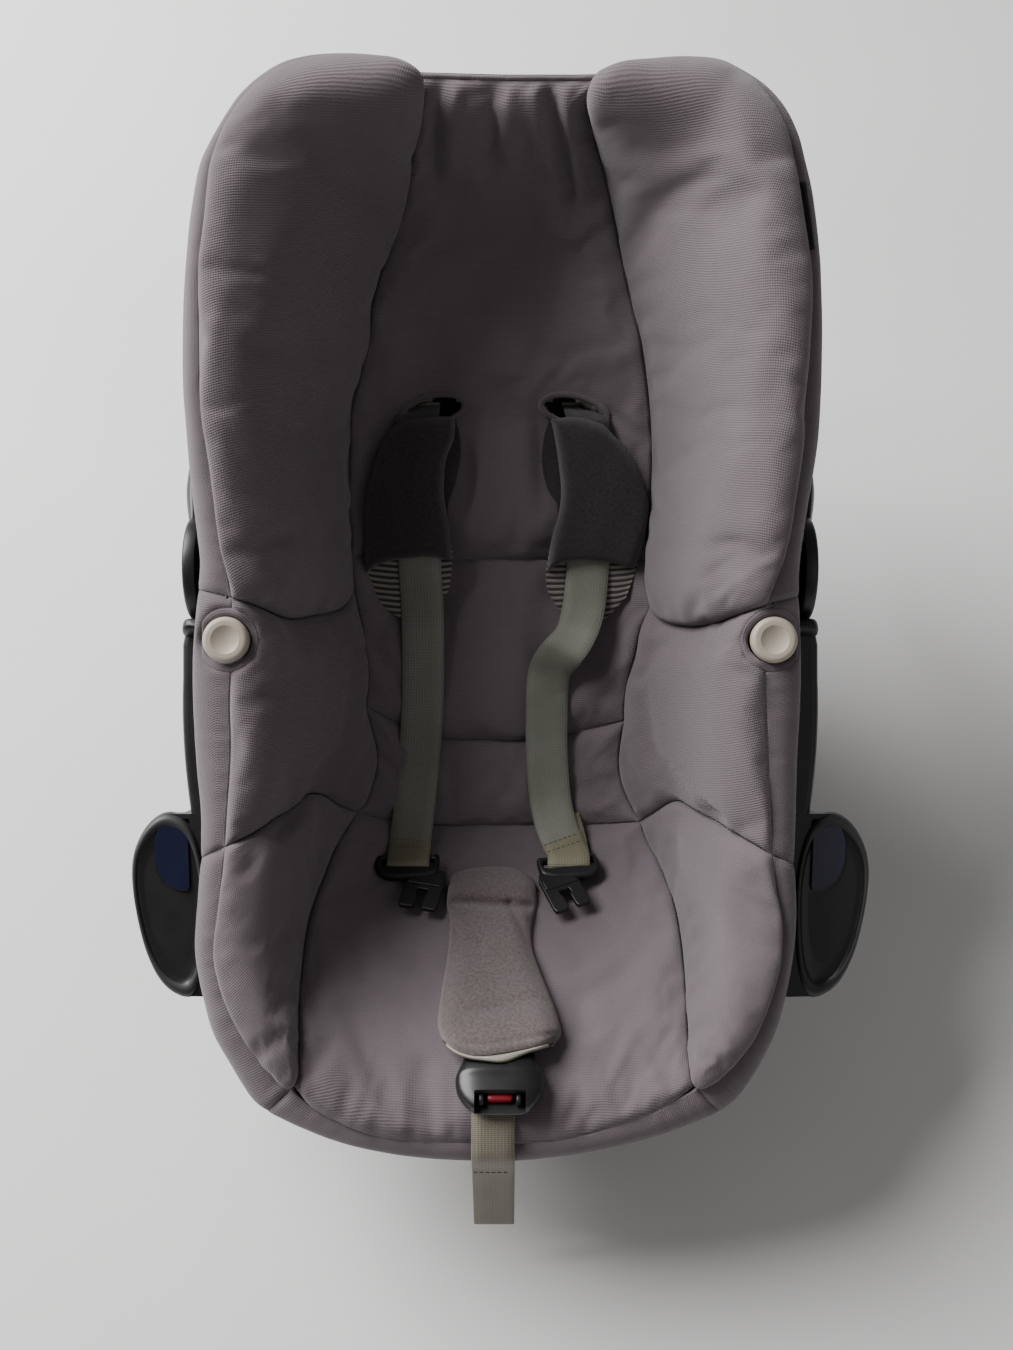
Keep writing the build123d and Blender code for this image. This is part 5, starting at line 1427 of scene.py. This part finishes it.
HUB = [(8.2, 168.6), (19.6, 168.6), (20, 169), (20, 177.6), (30.2, 177.8), (31.2, 178.4), (31.6, 179.6), (31.6, 183.6), (31.3, 184.8), (30.4, 185.6), (28.6, 186.0), (22, 186.6), (18, 186.8), (17, 186.7),
       (16.3, 186.2), (15.7, 185.4), (14.8, 184.9), (13.9, 184.6), (13.4, 183.9), (13.4, 180), (8.2, 180)]
path_, size_ = [], []
for k in np.linspace(0, 1, 40):
    e_ = min(1, k / 0.2)
    th_ = 6.2 + 6.8 * e_ * e_ * (3 - 2 * e_)
    path_.append((180 + th_ / 2, PY + 8 + k * 223.0))
    size_.append((th_, 46 - 16 * min(1, k * 1.02)))
for a_ in np.linspace(0, 90, 34)[1:]:
    path_.append((101.5 + 85 * math.cos(math.radians(a_)), 238.65 + 85 * math.sin(math.radians(a_))))
    size_.append((13.0, 30.0))
path_ += [(x_, 323.65) for x_ in (96, 88)]
size_ += [(13.0, 30.0)] * 2
for side_, sg in (("left", -1.0), ("right", 1.0)):
    piece(bow("handle_arm_%s_bow" % side_, path_, size_, sg, "black"), "handle", "hard_black", "handle_arm_" + side_)
    piece(turned("handle_arm_%s_hub" % side_, HUB, sg, "black"), "handle", "hard_black", "handle_arm_" + side_)
    piece(turned("handle_button_%s_cap" % side_, [(2, 188.4), (7, 188.7), (10.4, 189.1), (11.8, 189.0), (12.6, 188.4), (12.9, 187.4), (12.9, 184.2), (11.4, 184.2), (11.4, 187.5), (2, 187.5)], sg, "grey"),
          "handle_button_" + side_, "hard_black", "handle_button_" + side_)
xs = np.linspace(-100, 100, 161)
gy = np.interp(np.abs(xs), [0, 60, 100], [29, 28, 25.0])
gz = np.interp(np.abs(xs), [0, 60, 100], [36, 35, 33.0])
end_ = np.sqrt(1 - (1 - np.clip((100 - np.abs(xs)) / 4.0, 0, 1)) ** 2)
rib_ = 0.45 * np.cos(xs * 2 * np.pi / 6.2) * np.clip((66 - np.abs(xs)) / 6.0, 0, 1)
grip_ = [((13.4 + (y_ - 13.4) * (0.35 + 0.65 * e_)) + r_, (30.4 + (z_ - 30.4) * (0.35 + 0.65 * e_)) + r_) for y_, z_, e_, r_ in zip(gy, gz, end_, rib_)]
piece(bow("handle_grip_sleeve", [(x_, 323.65) for x_ in xs], grip_, 1.0, "rubber", n=48, power=2.9), "handle", "rubber", "handle_grip")

# a collar that carries each side cover round the foot side of the handle's hub
for side_, sg in (("left", -1.0), ("right", 1.0)):
    angs = np.radians(np.linspace(152, 246, 48))
    sec = [(32.1, 160), (32.1, 187.2), (32.5, 188.6), (33.4, 189.5), (35.2, 190.1), (38.6, 190.3), (40.6, 189.9), (41.6, 188.6), (42, 185.5), (42, 160)]
    fade = np.sqrt(np.clip(1 - (np.abs(np.linspace(-1, 1, 48)) ** 6), 0.02, 1))
    g = np.zeros((48, len(sec), 3))
    for i, a_ in enumerate(angs):
        for j, (r_, x_) in enumerate(sec):
            rr = 37.3 + (r_ - 37.3) * (0.35 + 0.65 * fade[i])
            g[i, j] = (sg * (160 + (x_ - 160) * (0.8 + 0.2 * fade[i])), 64 + rr * math.cos(a_), -46 + rr * math.sin(a_))
    m_ = len(sec)
    faces = grid_faces(48, m_, wrap=True) + [tuple(range(m_))[::-1], tuple(47 * m_ + k for k in range(m_))]
    o = new_object("side_cover_%s_collar" % side_, world(g.reshape(-1, 3)), faces, (lengths(g) / 1000).reshape(-1, 2))
    outward(o)
    dress(o, M["black"])
    sharp(o, 50)
    piece(o, "root", "hard_black")

# a turned-in lip of the cover round each push button
deps = bpy.context.evaluated_depsgraph_get()
for side_, b in zip(("left", "right"), BUTTONS):
    trees = [BVHTree.FromObject(o, deps) for o in [PANELS["torso_panel_%s_cover" % side_]] + RIMS]
    ang = np.linspace(0, 2 * np.pi, 72, endpoint=False)
    h = np.full(72, np.nan)
    out_ = np.minimum(18.6, 15.4 / np.maximum(np.cos(ang) * np.sign(b[0]), 1e-3))
    for i, a_ in enumerate(ang):
        p = world(np.array([b[0] + (out_[i] - 0.1) * math.cos(a_), b[1] + (out_[i] - 0.1) * math.sin(a_), 60.0]))
        found = [t_.ray_cast(Vector(p), Vector(-AX[2]))[0] for t_ in trees]
        found = [float((np.array(k) * 1000 - ORIGIN) @ AX[2]) for k in found if k is not None]
        if found:
            h[i] = max(found)
    ok = ~np.isnan(h) & (h > -6)
    h = np.minimum(np.interp(ang, ang[ok], h[ok], period=2 * np.pi), 5.5)
    for _ in range(5):
        h = (np.roll(h, 1) + 2 * h + np.roll(h, -1)) / 4
    rows = []
    for f, up in ((1.0, -0.9), (0.86, -0.25), (0.64, 0.0), (0.42, -0.05), (0.22, -0.5), (0.08, -1.3), (0.0, -2.6), (0.0, -5.5)):
        r_ = 14.0 + (out_ - 14.0) * f
        rows.append(np.stack([b[0] + r_ * np.cos(ang), b[1] + r_ * np.sin(ang), h + up], -1))
    g = np.stack(rows, 0)
    o = new_object("button_lip_" + side_, world(g.reshape(-1, 3)), grid_faces(len(rows), 72, wrap=True), (lengths(g) / 1000).reshape(-1, 2))
    outward(o)
    m = o.modifiers.new("thick", "SOLIDIFY")
    m.thickness, m.offset = 0.0007, 0.0
    dress(o, M["cover"])
    piece(o, "root", "cover_fabric")

# ------------------------------------------------------------------ carried-over pieces
LOOKS = {
    "outer_shell": "shell", "foam_liner": "foam", "adjuster_housing": "black", "adjuster_button": "grey", "release_button_left": "beige",
    "release_button_right": "beige", "belt_guide": "blue", "base_runner_left": "shell", "base_runner_right": "shell", "rubber_feet": "rubber",
    "handle_grip": "rubber", "handle_arm_left": "black", "handle_arm_right": "black", "handle_button_left": "grey", "handle_button_right": "grey",
    "side_cover_left": "black", "side_cover_right": "black", "belt_hook_left": "black", "belt_hook_right": "black", "hook_insert_left": "blue",
    "hook_insert_right": "blue", "buckle_back": "gloss", "buckle_front": "gloss", "buckle_button": "red", "tongue_left": "black",
    "tongue_right": "black", "shoulder_strap_left": "web", "shoulder_strap_right": "web", "crotch_strap": "web", "rear_strap_left": "web",
    "rear_strap_right": "web", "lower_strap": "web", "crotch_anchor": "web", "pull_strap": "pull", "shoulder_pad_left": "knit",
    "shoulder_pad_right": "knit", "crotch_pad": "crotch",
}
for n, o in NODES.items():
    dress(o, M[LOOKS.get(n, "steel")])

for n, body, joint, way, travel in [("buckle_spring", "crotch", "buckle_press", (0, 0.382787, 0.923846), 2.5)] + [
        (k % s_, body, j % s_, way, travel) for s_, sg in (("left", 1.0), ("right", -1.0))
        for k, body, j, way, travel in (("handle_spring_%s", "handle", "handle_lock_%s", (sg, 0, 0), 4.0), ("release_spring_%s", "root", "release_press_%s", (0, 0.469472, -0.882948), 4.5))]:
    o = bpy.data.objects.new(n + "_coil", NODES[n].data.copy())
    scene.collection.objects.link(o)
    dress(o, M["steel"])
    piece(o, body, "steel", n)
    along = np.array([v.co for v in o.data.vertices]) @ np.array(way)
    tuple(np.array(way) * float(along.max()))
    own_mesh(o)
    tuple(way)
